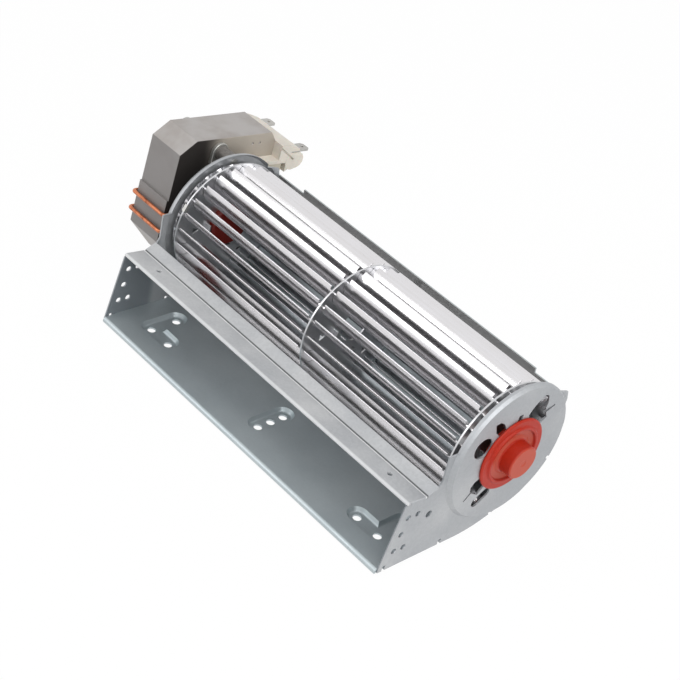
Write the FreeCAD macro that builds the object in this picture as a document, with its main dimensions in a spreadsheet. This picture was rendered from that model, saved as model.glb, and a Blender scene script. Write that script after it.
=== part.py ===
"""Cross flow fan: a bladed impeller in a folded sheet casing, turned by a shaded-pole motor.

The part stands on the three sunk feet of its base. The origin is the centre of the four outer
foot holes, on the plane the feet rest on. +X runs along the impeller to its bearing end,
+Y to the back of the scroll, and +Z up. Sizes are millimetres and degrees.
"""
import FreeCAD, Part
import Sketcher
import math
import os

SIZES = [
    # The impeller.
    ("rotor_radius", 30.0), ("rotor_length", 180.0), ("disc_thick", 0.8), ("disc_bore_radius", 8.0),
    ("blade_count", 24), ("blade_first_angle", 5.0), ("blade_thick", 0.5), ("blade_rim_inset", 0.15),
    ("blade_depth", 6.6), ("blade_curve_radius", 9.0), ("blade_inner_lean", 12.0),
    ("blade_shoulder_depth", 1.3), ("blade_shoulder_width", 1.6), ("blade_tab_stand", 1.2),
    ("slot_clearance", 0.1), ("claw_radius", 11.6), ("claw_width", 4.0), ("claw_height", 2.4),
    ("claw_count", 4), ("lance_radius", 18.5), ("lance_side", 3.4), ("lance_count", 3),
    ("clip_angle", 152.3), ("clip_width", 3.4), ("clip_depth", 4.2), ("clip_thick", 0.4),
    # The folded sheet casing.
    ("sheet_thick", 0.8), ("end_gap", 3.0), ("scroll_gap", 0.7), ("hug_end_angle", 50.0),
    ("sweep_radius", 60.15), ("wall_top", 17.5), ("wall_end_step", 2.2), ("wall_end_run", 18.0),
    ("mouth_bottom_reach", 60.6), ("mouth_top_reach", 53.5), ("mouth_top_drop", 5.3),
    ("ledge_bend_reach", 42.7), ("ledge_bend_drop", 6.6), ("ledge_back_reach", 37.2),
    ("ledge_back_drop", 4.0), ("hem_depth", 2.4), ("ledge_hole_radius", 1.2),
    ("ledge_hole_reach", 47.2), ("ledge_hole_spacing", 153.4), ("lip_radius", 1.6), ("lip_drop", 1.4),
    ("foot_depth", 2.0), ("foot_half_width", 4.75), ("foot_hole_radius", 1.9),
    ("foot_hole_spacing", 155.0), ("foot_inner_spacing", 130.0), ("foot_row_spacing", 14.0),
    ("axis_back", 38.5),
    # The end plates.
    ("dish_radius", 31.0), ("dish_slope", 1.4), ("dish_depth", 2.1), ("rim_radius", 32.3),
    ("cheek_reach", 35.3), ("cheek_top", 10.0), ("tip_height", 19.0), ("flange_width", 7.0),
    ("bend_start_reach", 57.5), ("bend_end_reach", 26.5), ("relief_width", 1.6), ("relief_depth", 2.6),
    ("back_relief_angle", 26.0), ("plate_step_angle", 64.0), ("low_relief_angle", 70.0),
    ("relief_half_angle", 1.6),
    ("side_hole_radius", 1.0), ("side_hole_inset", 4.8),
    ("side_hole_pitch", 5.1), ("side_hole_rise", 8.0), ("shaft_hole_radius", 9.0), ("boot_hole_radius", 12.0),
    ("vent_slot_width", 4.8), ("window_radius", 4.9),
    # The bearing boot, its bush and the journal.
    ("boot_flange_radius", 17.1), ("boot_flange_thick", 1.2), ("boot_inner_radius", 15.0),
    ("boot_inner_thick", 1.2), ("boot_lip_radius", 13.4), ("boot_lip_height", 0.8),
    ("boot_nose_radius", 7.7), ("boot_nose_height", 6.2), ("boot_end_wall", 1.4),
    ("bush_radius", 5.9), ("bush_length", 6.4), ("shaft_radius", 2.5), ("running_clearance", 0.05),
    ("seat_clearance", 0.03), ("hub_flange_radius", 10.8), ("hub_flange_thick", 1.2),
    ("coupling_reach", 3.8), ("coupling_nose_length", 3.8), ("coupling_nose_radius", 7.4),
    ("shaft_grip", 2.4),
    # The motor.
    ("motor_tilt", 6.5), ("spacer_length", 8.8), ("spacer_radius", 3.5), ("stack_thick", 21.0),
    ("frame_half_height", 33.4), ("arm_height", 12.0), ("frame_closed_reach", 22.3),
    ("coil_gap", 0.8), ("pole_reach", 16.4), ("bore_radius", 14.3), ("air_gap", 0.35),
    ("core_bar_width", 11.8), ("coil_build", 4.6), ("tube_wall", 1.0), ("bobbin_flange_thick", 1.8),
    ("coil_end_gap", 0.2), ("terminal_block_height", 7.4), ("terminal_reach", 46.8),
    ("terminal_lobe_length", 9.1),
    ("tab_width", 6.3), ("tab_thick", 0.8), ("tab_length", 7.0), ("tab_root", 5.0),
    ("tab_spacing", 25.4), ("tab_rise", 3.3), ("tab_hole_radius", 0.8),
    ("ring_wire_radius", 1.2), ("ring_corner_radius", 1.3),
    ("bracket_thick", 2.0), ("bracket_width", 9.0), ("bracket_rise", 5.2), ("bracket_hub_radius", 7.2),
    ("bracket_hub_length", 6.4), ("motor_bush_radius", 5.0), ("screw_radius", 2.0),
    ("screw_inset", 6.0), ("screw_head_radius", 3.8), ("screw_head_height", 2.6),
    ("cage_ring_length", 3.0), ("cage_ring_depth", 4.0), ("cage_bar_count", 12), ("cage_bar_width", 1.8),
    ("cage_bar_depth", 3.2), ("washer_radius", 4.6), ("washer_thick", 0.8), ("shaft_tail", 4.0),
]

document = FreeCAD.newDocument("CrossFlowFan")
sheet = document.addObject("Spreadsheet::Sheet", "Sizes")
for row, (alias, number) in enumerate(SIZES, start=1):
    sheet.set(f"A{row}", alias)
    sheet.set(f"B{row}", str(number))
    sheet.setAlias(f"B{row}", alias)
document.recompute()


class Sheet:
    """Reads a driving size from the sheet by its alias, as size.rotor_radius."""

    def __getattr__(self, alias):
        return float(sheet.get(alias))


size = Sheet()
PARTS = []

X_AXIS = FreeCAD.Vector(1, 0, 0)
FULL_TURN = 360.0
BEARING_SIDE = 1
MOTOR_SIDE = -1

# Places that follow from the driving sizes.
half_rotor = size.rotor_length / 2
half_casing = half_rotor + size.end_gap
wall_back = size.rotor_radius + size.scroll_gap + size.sheet_thick
sweep_offset = size.sweep_radius - wall_back
sweep_centre = (-sweep_offset * math.cos(math.radians(size.hug_end_angle)),
                sweep_offset * math.sin(math.radians(size.hug_end_angle)))
base_drop = size.sweep_radius - sweep_centre[1]
axis_height = base_drop + size.foot_depth
dish_face = size.dish_depth + size.sheet_thick
blade_outer = size.rotor_radius - size.blade_rim_inset
blade_inner = blade_outer - size.blade_depth
stack_front = -(half_casing + dish_face + size.spacer_length + size.bracket_thick)
stack_back = stack_front - size.stack_thick
stack_middle = (stack_front + stack_back) / 2
arm_inner = size.frame_half_height - size.arm_height
screw_reach = size.frame_half_height - size.screw_inset
tab_height = arm_inner + size.tab_rise
block_top = arm_inner + size.terminal_block_height
core_left = size.pole_reach + size.coil_gap + size.coil_build + size.tube_wall
core_right = core_left + size.core_bar_width


def new_body(label, along=0.0, tilt=0.0):
    """A body whose origin is on the impeller's axis, this far along it."""
    body = document.addObject("PartDesign::Body", label)
    body.Label = label
    place = FreeCAD.Vector(along, size.axis_back, axis_height)
    body.Placement = FreeCAD.Placement(place, FreeCAD.Rotation(X_AXIS, tilt))
    PARTS.append(body)
    return body


def new_sketch(body, role, name, lift=0.0):
    """A sketch on one of the body's own origin planes, lifted off it along its normal."""
    sketch = body.newObject("Sketcher::SketchObject", name)
    origin_plane = next(item for item in body.Origin.OriginFeatures if item.Role == role)
    sketch.AttachmentSupport = (origin_plane, [""])
    sketch.MapMode = "FlatFace"
    sketch.AttachmentOffset = FreeCAD.Placement(FreeCAD.Vector(0, 0, lift), FreeCAD.Rotation())
    return sketch


def across(body, name, lift=0.0):
    """A sketch across the axis: its own axes are +Y and +Z, and its normal is +X."""
    return new_sketch(body, "YZ_Plane", name, lift)


def lengthwise(body, name):
    """A sketch along the axis: its own axes are +X and +Z, for turned shapes and side cuts."""
    return new_sketch(body, "XZ_Plane", name)


def point(place):
    return FreeCAD.Vector(place[0], place[1], 0)


def draw(sketch, start, *moves):
    """Draws a closed outline. A move is a point for a line, or a middle and an end for an arc."""
    here = start
    for move in list(moves) + [start]:
        if isinstance(move[0], tuple):
            middle, end = move
            sketch.addGeometry(Part.Arc(point(here), point(middle), point(end)))
        else:
            end = move
            if math.dist(here, end) > 1e-6:
                sketch.addGeometry(Part.LineSegment(point(here), point(end)))
        here = end


def draw_circle(sketch, centre, radius):
    """Draws a circle whose radius follows a sheet formula."""
    sketch.addGeometry(Part.Circle(point(centre), FreeCAD.Vector(0, 0, 1), 1.0))
    number = sketch.addConstraint(Sketcher.Constraint("Radius", sketch.GeometryCount - 1, 1.0))
    sketch.setExpression(f"Constraints[{number}]", radius)


def draw_box(sketch, low, high):
    draw(sketch, low, (high[0], low[1]), high, (low[0], high[1]))


def pad(body, sketch, length, both=False, back=False):
    """Pads a sketch by a sheet formula, along its normal, back from it, or half each way."""
    feature = body.newObject("PartDesign::Pad", sketch.Name + "Pad")
    feature.Profile = sketch
    feature.setExpression("Length", length)
    feature.SideType = "Symmetric" if both else "One side"
    feature.Reversed = back
    return finish(body, feature, sketch)


def pocket(body, sketch, length=None, back=False):
    """Cuts a sketch by a sheet formula, or right through both ways where there is none."""
    feature = body.newObject("PartDesign::Pocket", sketch.Name + "Pocket")
    feature.Profile = sketch
    if length:
        feature.setExpression("Length", length)
        feature.Reversed = back
    else:
        feature.Type = "ThroughAll"
        feature.SideType = "Symmetric"
    before = body.Shape.Volume
    finish(body, feature, sketch)
    if body.Shape.Volume >= before:
        raise RuntimeError(f"{feature.Name} cuts nothing")
    return feature


def finish(body, feature, sketch):
    sketch.Visibility = False
    body.Tip = feature
    document.recompute()
    return feature


def turn(body, sketch, kind="PartDesign::Revolution"):
    """Turns a sketch drawn along the axis a full turn about it."""
    feature = body.newObject(kind, sketch.Name + "Turn")
    feature.Profile = sketch
    feature.ReferenceAxis = (sketch, ["H_Axis"])
    feature.Angle = FULL_TURN
    return finish(body, feature, sketch)


def repeat(body, feature, count):
    """Repeats a feature round the axis, as many times as a sheet formula says."""
    pattern = body.newObject("PartDesign::PolarPattern", feature.Name + "Pattern")
    pattern.Originals = [feature]
    axis = next(item for item in body.Origin.OriginFeatures if item.Role == "X_Axis")
    pattern.Axis = (axis, [""])
    pattern.Angle = FULL_TURN
    pattern.setExpression("Occurrences", count)
    body.Tip = pattern
    document.recompute()


def turned(label, along, *corners):
    """A turned piece, from the corners of its half section as (along, radius)."""
    body = new_body(label, along)
    sketch = lengthwise(body, label + "_section")
    draw(sketch, *corners)
    turn(body, sketch)
    return body


def polar(radius, degrees):
    return (radius * math.cos(math.radians(degrees)), radius * math.sin(math.radians(degrees)))


def on_hug(depth, degrees):
    """A point this far outside the wall where the scroll hugs the impeller."""
    return polar(wall_back + depth, -degrees)


def on_sweep(depth, degrees):
    """A point this far outside the wall where the scroll sweeps out to the base."""
    reach, up = polar(size.sweep_radius + depth, -degrees)
    return (reach + sweep_centre[0], up + sweep_centre[1])


def along_wall(depth, start, end):
    """Moves that follow the scroll between two angles, over the joint of its two arcs."""
    joint = size.hug_end_angle
    marks = [start, joint, end] if min(start, end) < joint < max(start, end) else [start, end]
    moves = []
    for first, last in zip(marks, marks[1:]):
        curve = on_hug if (first + last) / 2 < joint else on_sweep
        moves.append((curve(depth, (first + last) / 2), curve(depth, last)))
    return moves


# Casing.

def foot_outline(sketch, side, half_width):
    """The rounded L of an end foot, or the rounded bar of the middle one where side is 0."""
    front = -size.axis_back - size.foot_row_spacing / 2
    rear = front + size.foot_row_spacing
    outer = size.foot_hole_spacing / 2
    inner = size.foot_inner_spacing / 2
    wide = half_width
    if side == 0:
        draw(sketch, (wide, front), (wide, rear), ((0, rear + wide), (-wide, rear)),
             (-wide, front), ((0, front - wide), (wide, front)))
        return
    corner = wide * math.sqrt(0.5)
    path = [(outer + wide, front), (outer + wide, rear), ((outer, rear + wide), (outer - wide, rear)),
            (outer - wide, front + wide), (inner, front + wide),
            ((inner - wide, front), (inner, front - wide)), (outer, front - wide),
            ((outer + corner, front - corner), (outer + wide, front))]
    flip = [tuple((side * p[0], p[1]) for p in move) if isinstance(move[0], tuple)
            else (side * move[0], move[1]) for move in path]
    draw(sketch, *flip)


def casing_wall():
    """Base and scroll in one folded sheet, with a rolled front lip and three sunk feet."""
    body = new_body("casing_wall")
    thick = size.sheet_thick
    top = thick - base_drop
    lip_front = -size.mouth_bottom_reach - thick
    lip_back = -size.mouth_bottom_reach
    bend = lip_front + size.lip_radius
    small = size.lip_radius - thick
    lip_low = -base_drop - size.lip_drop
    corner = 1 - math.sqrt(0.5)
    square = 90.0
    profile = across(body, "sheet_section")
    draw(profile, (lip_front, lip_low), (lip_front, top - size.lip_radius),
         ((lip_front + size.lip_radius * corner, top - size.lip_radius * corner), (bend, top)),
         on_sweep(-thick, square), *along_wall(-thick, square, 0.0),
         (wall_back - thick, size.wall_top), (wall_back, size.wall_top), (wall_back, 0.0),
         *along_wall(0.0, 0.0, square), (bend, -base_drop),
         ((lip_back + small * corner, -base_drop - small * corner), (lip_back, -base_drop - small)),
         (lip_back, lip_low))
    pad(body, profile, "Sizes.rotor_length + 2 * Sizes.end_gap", both=True)

    steps = lengthwise(body, "top_edge_steps")
    for side in (MOTOR_SIDE, BEARING_SIDE):
        draw_box(steps, (side * (half_casing - size.wall_end_run), size.wall_top - size.wall_end_step),
                 (side * (half_casing + thick), size.wall_top + thick))
    pocket(body, steps)

    for side in (MOTOR_SIDE, 0, BEARING_SIDE):
        name = {MOTOR_SIDE: "motor_foot", 0: "middle_foot", BEARING_SIDE: "bearing_foot"}[side]
        pan = new_sketch(body, "XY_Plane", name, -axis_height)
        foot_outline(pan, side, size.foot_half_width + thick)
        pad(body, pan, "Sizes.foot_depth + Sizes.sheet_thick")
        hollow = new_sketch(body, "XY_Plane", name + "_hollow", top)
        foot_outline(hollow, side, size.foot_half_width)
        pocket(body, hollow, "Sizes.foot_depth")

    front = -size.axis_back - size.foot_row_spacing / 2
    rear = front + size.foot_row_spacing
    holes = new_sketch(body, "XY_Plane", "foot_holes", top)
    for side in (MOTOR_SIDE, BEARING_SIDE):
        draw_circle(holes, (side * size.foot_hole_spacing / 2, front), "Sizes.foot_hole_radius")
        draw_circle(holes, (side * size.foot_hole_spacing / 2, rear), "Sizes.foot_hole_radius")
        draw_circle(holes, (side * size.foot_inner_spacing / 2, front), "Sizes.foot_hole_radius")
    for reach in (front, -size.axis_back, rear):
        draw_circle(holes, (0, reach), "Sizes.foot_hole_radius")
    pocket(body, holes, "Sizes.foot_depth + 2 * Sizes.sheet_thick")


def offset_path(path, distance):
    """The same path moved sideways to its right, with mitred corners."""
    moved = []
    for number, here in enumerate(path):
        before = path[max(number - 1, 0)]
        after = path[min(number + 1, len(path) - 1)]
        normals = []
        for a, b in ((before, here), (here, after)):
            length = math.dist(a, b)
            if length:
                normals.append(((b[1] - a[1]) / length, (a[0] - b[0]) / length))
        sum_x = sum(n[0] for n in normals) / len(normals)
        sum_y = sum(n[1] for n in normals) / len(normals)
        scale = distance / (sum_x ** 2 + sum_y ** 2)
        moved.append((here[0] + sum_x * scale, here[1] + sum_y * scale))
    return moved


def ledge_top():
    """The ledge's upper surface from its front edge to its back edge."""
    return [(-size.mouth_top_reach, -size.mouth_top_drop),
            (-size.ledge_bend_reach, -size.ledge_bend_drop),
            (-size.ledge_back_reach, -size.ledge_back_drop)]


def outlet_ledge():
    """The strip over the outlet that cuts the air off: hemmed in front and bent once."""
    body = new_body("outlet_ledge")
    under = offset_path(ledge_top(), size.sheet_thick)
    deep = offset_path(ledge_top(), 2 * size.sheet_thick)
    profile = across(body, "ledge_section")
    draw(profile, *ledge_top(), *reversed(under[1:]), *hem_end(), deep[0])
    pad(body, profile, "Sizes.rotor_length + 2 * Sizes.end_gap + 2 * Sizes.sheet_thick", both=True)
    holes = new_sketch(body, "XY_Plane", "ledge_holes")
    for side in (MOTOR_SIDE, BEARING_SIDE):
        draw_circle(holes, (side * size.ledge_hole_spacing / 2, -size.ledge_hole_reach),
                    "Sizes.ledge_hole_radius")
    pocket(body, holes)


def hem_end():
    """Where the ledge's hem ends, on the sheet's underside and on the hem's own."""
    share = size.hem_depth / math.dist(*ledge_top()[:2])
    lines = [offset_path(ledge_top(), layers * size.sheet_thick) for layers in (1, 2)]
    return [between(line, share) for line in lines]


def between(line, share):
    """A point part of the way along a path's first stretch."""
    return tuple(a + (b - a) * share for a, b in zip(line[0], line[1]))


def plate_outline(sketch):
    """The end plate's edge: outlet, base, scroll, tip, rim over the impeller and cheek."""
    thick = size.sheet_thick
    under = offset_path(ledge_top(), thick)
    deep = offset_path(ledge_top(), 2 * thick)
    back = wall_back - thick / 2
    rim_start = math.degrees(math.asin(size.cheek_top / size.rim_radius))
    rim_end = 45.0
    cheek_low = (-size.cheek_reach, under[2][1] + 3.0)
    draw(sketch, (-size.mouth_bottom_reach, -base_drop - thick), on_sweep(thick, 90.0),
         *along_wall(thick, 90.0, size.plate_step_angle), on_hug(-thick / 2, size.hug_end_angle),
         *along_wall(-thick / 2, size.hug_end_angle, 0.0), (back, size.tip_height - 4.0),
         (back - 1.0, size.tip_height), (back - 5.4, size.tip_height + 1.6),
         (back - 7.0, size.tip_height + 1.0),
         polar(size.rim_radius, rim_end),
         (polar(size.rim_radius, (rim_end + 180 - rim_start) / 2),
          polar(size.rim_radius, 180 - rim_start)),
         (-size.cheek_reach, size.cheek_top), cheek_low, under[2], under[1], *hem_end(), deep[0])


def draw_slot(sketch, start, end, width):
    """A slot with round ends from one centre to the other."""
    length = math.dist(start, end)
    ahead = ((end[0] - start[0]) / length * width / 2, (end[1] - start[1]) / length * width / 2)
    side = (-ahead[1], ahead[0])
    draw(sketch, (start[0] + side[0], start[1] + side[1]),
         ((start[0] - ahead[0], start[1] - ahead[1]), (start[0] - side[0], start[1] - side[1])),
         (end[0] - side[0], end[1] - side[1]),
         ((end[0] + ahead[0], end[1] + ahead[1]), (end[0] + side[0], end[1] + side[1])))


def cheek_place(pitches, rises):
    """A hole's place beside the outlet, so many pitches behind the first and rises above the base."""
    up = rises * size.side_hole_rise
    lean = (size.mouth_bottom_reach - size.mouth_top_reach) / (base_drop - size.mouth_top_drop)
    edge = up * lean - size.mouth_bottom_reach
    return (edge + size.side_hole_inset + pitches * size.side_hole_pitch, up - base_drop)


def in_dish(share, degrees):
    """A point in the dish, by its share of the dish's radius and its angle."""
    return polar(share * size.dish_radius, degrees)


def cut_vents(sketch):
    """Openings pressed round the boot: its own hole, a window, a keyhole, two notches and two slots."""
    draw_circle(sketch, (0, 0), "Sizes.boot_hole_radius")
    draw_circle(sketch, in_dish(0.68, 153), "Sizes.window_radius")
    draw(sketch, in_dish(0.8, 127), in_dish(0.76, 121), in_dish(0.66, 117), in_dish(0.5, 116),
         in_dish(0.5, 130), in_dish(0.66, 131))
    draw(sketch, in_dish(0.85, 66.5), (in_dish(0.9, 64), in_dish(0.91, 60.5)),
         (in_dish(0.85, 55), in_dish(0.74, 50)), in_dish(0.73, 47), in_dish(0.87, 41.5),
         in_dish(0.86, 39.5), in_dish(0.7, 43.5), in_dish(0.68, 35), in_dish(0.5, 36),
         in_dish(0.5, 62), in_dish(0.58, 75), (in_dish(0.71, 72), in_dish(0.85, 66.5)))
    draw(sketch, in_dish(0.63, 94), in_dish(0.63, 87), in_dish(0.44, 87), in_dish(0.44, 100))
    draw(sketch, in_dish(0.63, 205), in_dish(0.71, 209), in_dish(0.74, 215), in_dish(0.88, 217.3),
         in_dish(0.88, 219.3), in_dish(0.73, 218), in_dish(0.69, 230), in_dish(0.47, 230),
         in_dish(0.47, 205))
    draw_slot(sketch, in_dish(0.63, 244), in_dish(0.79, 237.5), size.vent_slot_width)


def end_plate(label, side):
    """One end of the casing: a dished plate with flanges bent in under the base and scroll."""
    body = new_body(label, side * half_casing)
    thick = size.sheet_thick
    slope = math.atan2(size.dish_depth, size.dish_slope)
    shift = thick * math.tan(slope / 2)
    far = size.mouth_bottom_reach + base_drop
    section = lengthwise(body, label + "_dish")
    foot = size.dish_radius + size.dish_slope
    draw(section, (side * size.dish_depth, 0), (side * size.dish_depth, size.dish_radius), (0, foot),
         (0, far), (side * thick, far), (side * thick, foot + shift),
         (side * dish_face, size.dish_radius + shift), (side * dish_face, 0))
    turn(body, section)

    edge = across(body, label + "_edge")
    plate_outline(edge)
    draw_box(edge, (-2 * far, -2 * far), (2 * far, 2 * far))
    pocket(body, edge)

    flanges = across(body, label + "_flanges")
    bottom = -base_drop
    gap = size.relief_width / 2
    draw_box(flanges, (-size.bend_start_reach + gap, bottom - thick), (-size.bend_end_reach - gap, bottom))
    low = size.low_relief_angle + size.relief_half_angle
    draw(flanges, (-size.bend_end_reach + gap, bottom - thick), (-size.bend_end_reach + gap, bottom),
         on_sweep(0.0, 90.0), *along_wall(0.0, 90.0, low), on_sweep(thick, low),
         *along_wall(thick, low, 90.0))
    under = offset_path(ledge_top(), thick)
    below = offset_path(ledge_top(), 2 * thick)
    draw(flanges, between(under, 0.4), between(under, 0.9), between(below, 0.9), between(below, 0.4))
    pad(body, flanges, "Sizes.flange_width", back=side == BEARING_SIDE)

    reliefs = across(body, label + "_reliefs")
    for reach in (size.bend_start_reach, size.bend_end_reach):
        draw_box(reliefs, (-reach - gap, bottom - 2 * thick),
                 (-reach + gap, bottom + size.relief_depth - thick))
    for curve, angle in ((on_sweep, size.low_relief_angle), (on_hug, size.back_relief_angle)):
        outside = curve(2 * thick, angle)
        inside = curve(thick - size.relief_depth, angle)
        sideways = polar(gap, 90.0 - angle)
        draw(reliefs, (outside[0] - sideways[0], outside[1] - sideways[1]),
             (outside[0] + sideways[0], outside[1] + sideways[1]),
             (inside[0] + sideways[0], inside[1] + sideways[1]),
             (inside[0] - sideways[0], inside[1] - sideways[1]))
    pocket(body, reliefs)

    holes = across(body, label + "_holes")
    for pitches, rises in ((0, 1), (1, 1), (0, 2), (0, 3), (1, 3)):
        draw_circle(holes, cheek_place(pitches, rises), "Sizes.side_hole_radius")
    draw_circle(holes, cheek_place(2.5, 2.6), "Sizes.side_hole_radius * 1.7")
    if side == BEARING_SIDE:
        cut_vents(holes)
    else:
        draw_circle(holes, (0, 0), "Sizes.shaft_hole_radius")
        for up in (-1, 1):
            place = polar(screw_reach, 90 * up - size.motor_tilt)
            draw_circle(holes, place, "Sizes.screw_radius + Sizes.slot_clearance")
    pocket(body, holes)


# Impeller.

def blade_section(sketch, thick, outer, grow=0.0):
    """A blade's curved section, leaning forward from its inner edge, and grown for a slot."""
    lean = math.radians(size.blade_inner_lean)
    curve = size.blade_curve_radius
    inner = blade_inner - grow

    def turn_at(radius):
        """How far the blade has curved where it reaches a radius."""
        low, high = 0.0, math.pi / 2
        for _ in range(60):
            middle = (low + high) / 2
            low, high = (middle, high) if math.hypot(*local(middle, curve)) < radius else (low, middle)
        return low

    def local(angle, radius):
        """A point of the section, radially out and forward from the centre of curvature."""
        centre_out = blade_inner - curve * math.sin(lean)
        centre_ahead = curve * math.cos(lean)
        return (centre_out + radius * math.sin(lean + angle), centre_ahead - radius * math.cos(lean + angle))

    tip = local(turn_at(blade_outer), curve)
    turn_back = size.blade_first_angle + math.degrees(math.atan2(tip[1], tip[0]))

    def place(angle, radius):
        out, ahead = local(angle, radius)
        return polar(math.hypot(out, ahead), turn_back - math.degrees(math.atan2(ahead, out)))

    first = -(blade_inner - inner) / curve
    last = turn_at(outer) + grow / curve
    middle = (first + last) / 2
    wide, narrow = curve + thick / 2 + grow, curve - thick / 2 - grow
    draw(sketch, place(first, wide), (place(middle, wide), place(last, wide)), place(last, narrow),
         (place(middle, narrow), place(first, narrow)))


def impeller_disc(label, along):
    """One of the three alike stampings that carry the blades."""
    body = new_body(label, along)
    rim = across(body, label + "_rim")
    draw_circle(rim, (0, 0), "Sizes.rotor_radius")
    draw_circle(rim, (0, 0), "Sizes.disc_bore_radius")
    pad(body, rim, "Sizes.disc_thick", both=True)

    claw = across(body, label + "_claw", size.disc_thick / 2)
    half = size.claw_width / 2
    draw_box(claw, (size.claw_radius, -half), (size.claw_radius + size.disc_thick, half))
    repeat(body, pad(body, claw, "Sizes.claw_height"), "Sizes.claw_count")

    lance = across(body, label + "_lance")
    near, side = size.lance_radius, size.lance_side
    draw(lance, (-near - side / 2, side / 2), (-near - side / 2, -side / 2), (-near + side / 2, 0))
    repeat(body, pocket(body, lance), "Sizes.lance_count")

    slot = across(body, label + "_slot")
    blade_section(slot, size.blade_thick, blade_outer - size.blade_shoulder_depth, size.slot_clearance)
    repeat(body, pocket(body, slot), "Sizes.blade_count")


def blade(number):
    """A full-length curved blade, narrowed where it passes through each disc."""
    body = new_body(f"blade_{number + 1:02d}")
    body.Placement.Rotation = FreeCAD.Rotation(X_AXIS, FULL_TURN / size.blade_count * number)
    section = across(body, f"section_{number + 1}")
    blade_section(section, size.blade_thick, blade_outer)
    pad(body, section, "Sizes.rotor_length + 2 * Sizes.blade_tab_stand", both=True)
    shoulders = lengthwise(body, f"shoulders_{number + 1}")
    low = blade_outer - size.blade_shoulder_depth
    disc_planes = (-half_rotor + size.disc_thick / 2, 0.0, half_rotor - size.disc_thick / 2)
    half = size.disc_thick / 2 + size.blade_shoulder_width
    for along in disc_planes:
        start = along - half if along > -half_rotor / 2 else along - 2 * half
        end = along + half if along < half_rotor / 2 else along + 2 * half
        draw_box(shoulders, (start, low), (end, size.rotor_radius + size.blade_rim_inset))
    turn(body, shoulders, "PartDesign::Groove")


def balance_clip():
    """A spring clip pushed over the motor-side disc's rim between two blades."""
    body = new_body("balance_clip", -half_rotor + size.disc_thick / 2, size.clip_angle)
    grip = size.disc_thick / 2 + size.slot_clearance / 2
    low = size.rotor_radius - size.clip_depth
    high = size.rotor_radius + size.slot_clearance / 2
    section = new_sketch(body, "XY_Plane", "clip_section")
    thick = size.clip_thick
    lip = low + size.clip_depth * 0.6
    draw(section, (-grip - thick, low), (-grip - thick, high + thick / 2), (grip + thick, high + thick / 2),
         (grip + thick, lip), (grip, lip), (grip, high), (-grip, high), (-grip, low))
    pad(body, section, "Sizes.clip_width", both=True)


def impeller_hubs():
    """What joins the impeller to the motor's shaft at one end and to its journal at the other."""
    shaft = size.shaft_radius + size.seat_clearance
    bore = size.disc_bore_radius - size.seat_clearance
    disc = size.disc_thick + size.seat_clearance
    flange, thick = size.hub_flange_radius, size.hub_flange_thick
    nose, nose_end = size.coupling_nose_radius, -thick - size.coupling_nose_length
    turned("coupling_hub", -half_rotor, (nose_end, shaft), (nose_end, nose - 0.6), (nose_end + 0.6, nose),
           (-thick, nose), (-thick, flange - 1.0), (-thick / 2, flange), (-size.seat_clearance, flange),
           (-size.seat_clearance, bore), (disc, bore), (disc, flange), (size.coupling_reach - 0.8, flange),
           (size.coupling_reach, flange - 0.8), (size.coupling_reach, 0),
           (size.shaft_grip + size.seat_clearance, 0), (size.shaft_grip + size.seat_clearance, shaft))
    turned("journal_hub", half_rotor, (thick, shaft), (thick, bore / 2 + 1.0), (0, bore / 2 + 1.5),
           (0, bore), (-disc, bore), (-disc, flange), (-disc - thick, flange), (-disc - thick, shaft))
    start = half_rotor - size.disc_thick - 2 * size.hub_flange_thick
    end = half_casing + dish_face + size.bush_length - 1.2
    pin = turned("journal_pin", start, (0, 0), (0, size.shaft_radius), (end - start - 0.4, size.shaft_radius),
                 (end - start, size.shaft_radius - 0.4), (end - start, 0))
    return pin


# Bearing end.

def bearing_boot():
    """The silicone boot that holds the bush in the end plate and closes over the journal."""
    sheet_in = size.dish_depth - size.seat_clearance
    sheet_out = dish_face + size.seat_clearance
    flange = sheet_out + size.boot_flange_thick
    end = flange + size.boot_nose_height
    neck = size.boot_hole_radius - size.seat_clearance
    lip, nose = size.boot_lip_radius, size.boot_nose_radius
    seat = size.bush_radius + size.seat_clearance
    inner = sheet_in - size.boot_inner_thick
    turned("bearing_boot", half_casing, (inner, seat), (inner, size.boot_inner_radius),
           (sheet_in, size.boot_inner_radius), (sheet_in, neck), (sheet_out, neck),
           (sheet_out, size.boot_flange_radius), (flange - 0.4, size.boot_flange_radius),
           (flange, size.boot_flange_radius - 0.6), (flange, lip + 0.3),
           (flange + size.boot_lip_height, lip), (flange + size.boot_lip_height, lip - 1.0),
           (flange - 0.5, lip - 1.6), (flange - 0.5, nose + 1.0), (flange + 0.2, nose + 0.2),
           (end - 0.6, nose), (end, nose - 0.6), (end, 0), (end - size.boot_end_wall, 0),
           (end - size.boot_end_wall, seat))


def bush(label, along, radius, length):
    bore = size.shaft_radius + size.running_clearance
    turned(label, along, (0, bore), (0.3, radius - 0.5), (0.8, radius), (length - 0.8, radius),
           (length - 0.3, radius - 0.5), (length, bore))


# Motor.

def motor_body(label, along=None):
    """A body in the motor's own axes, turned about the shaft, with +Y towards the coil."""
    return new_body(label, stack_front if along is None else along, -size.motor_tilt)


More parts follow.
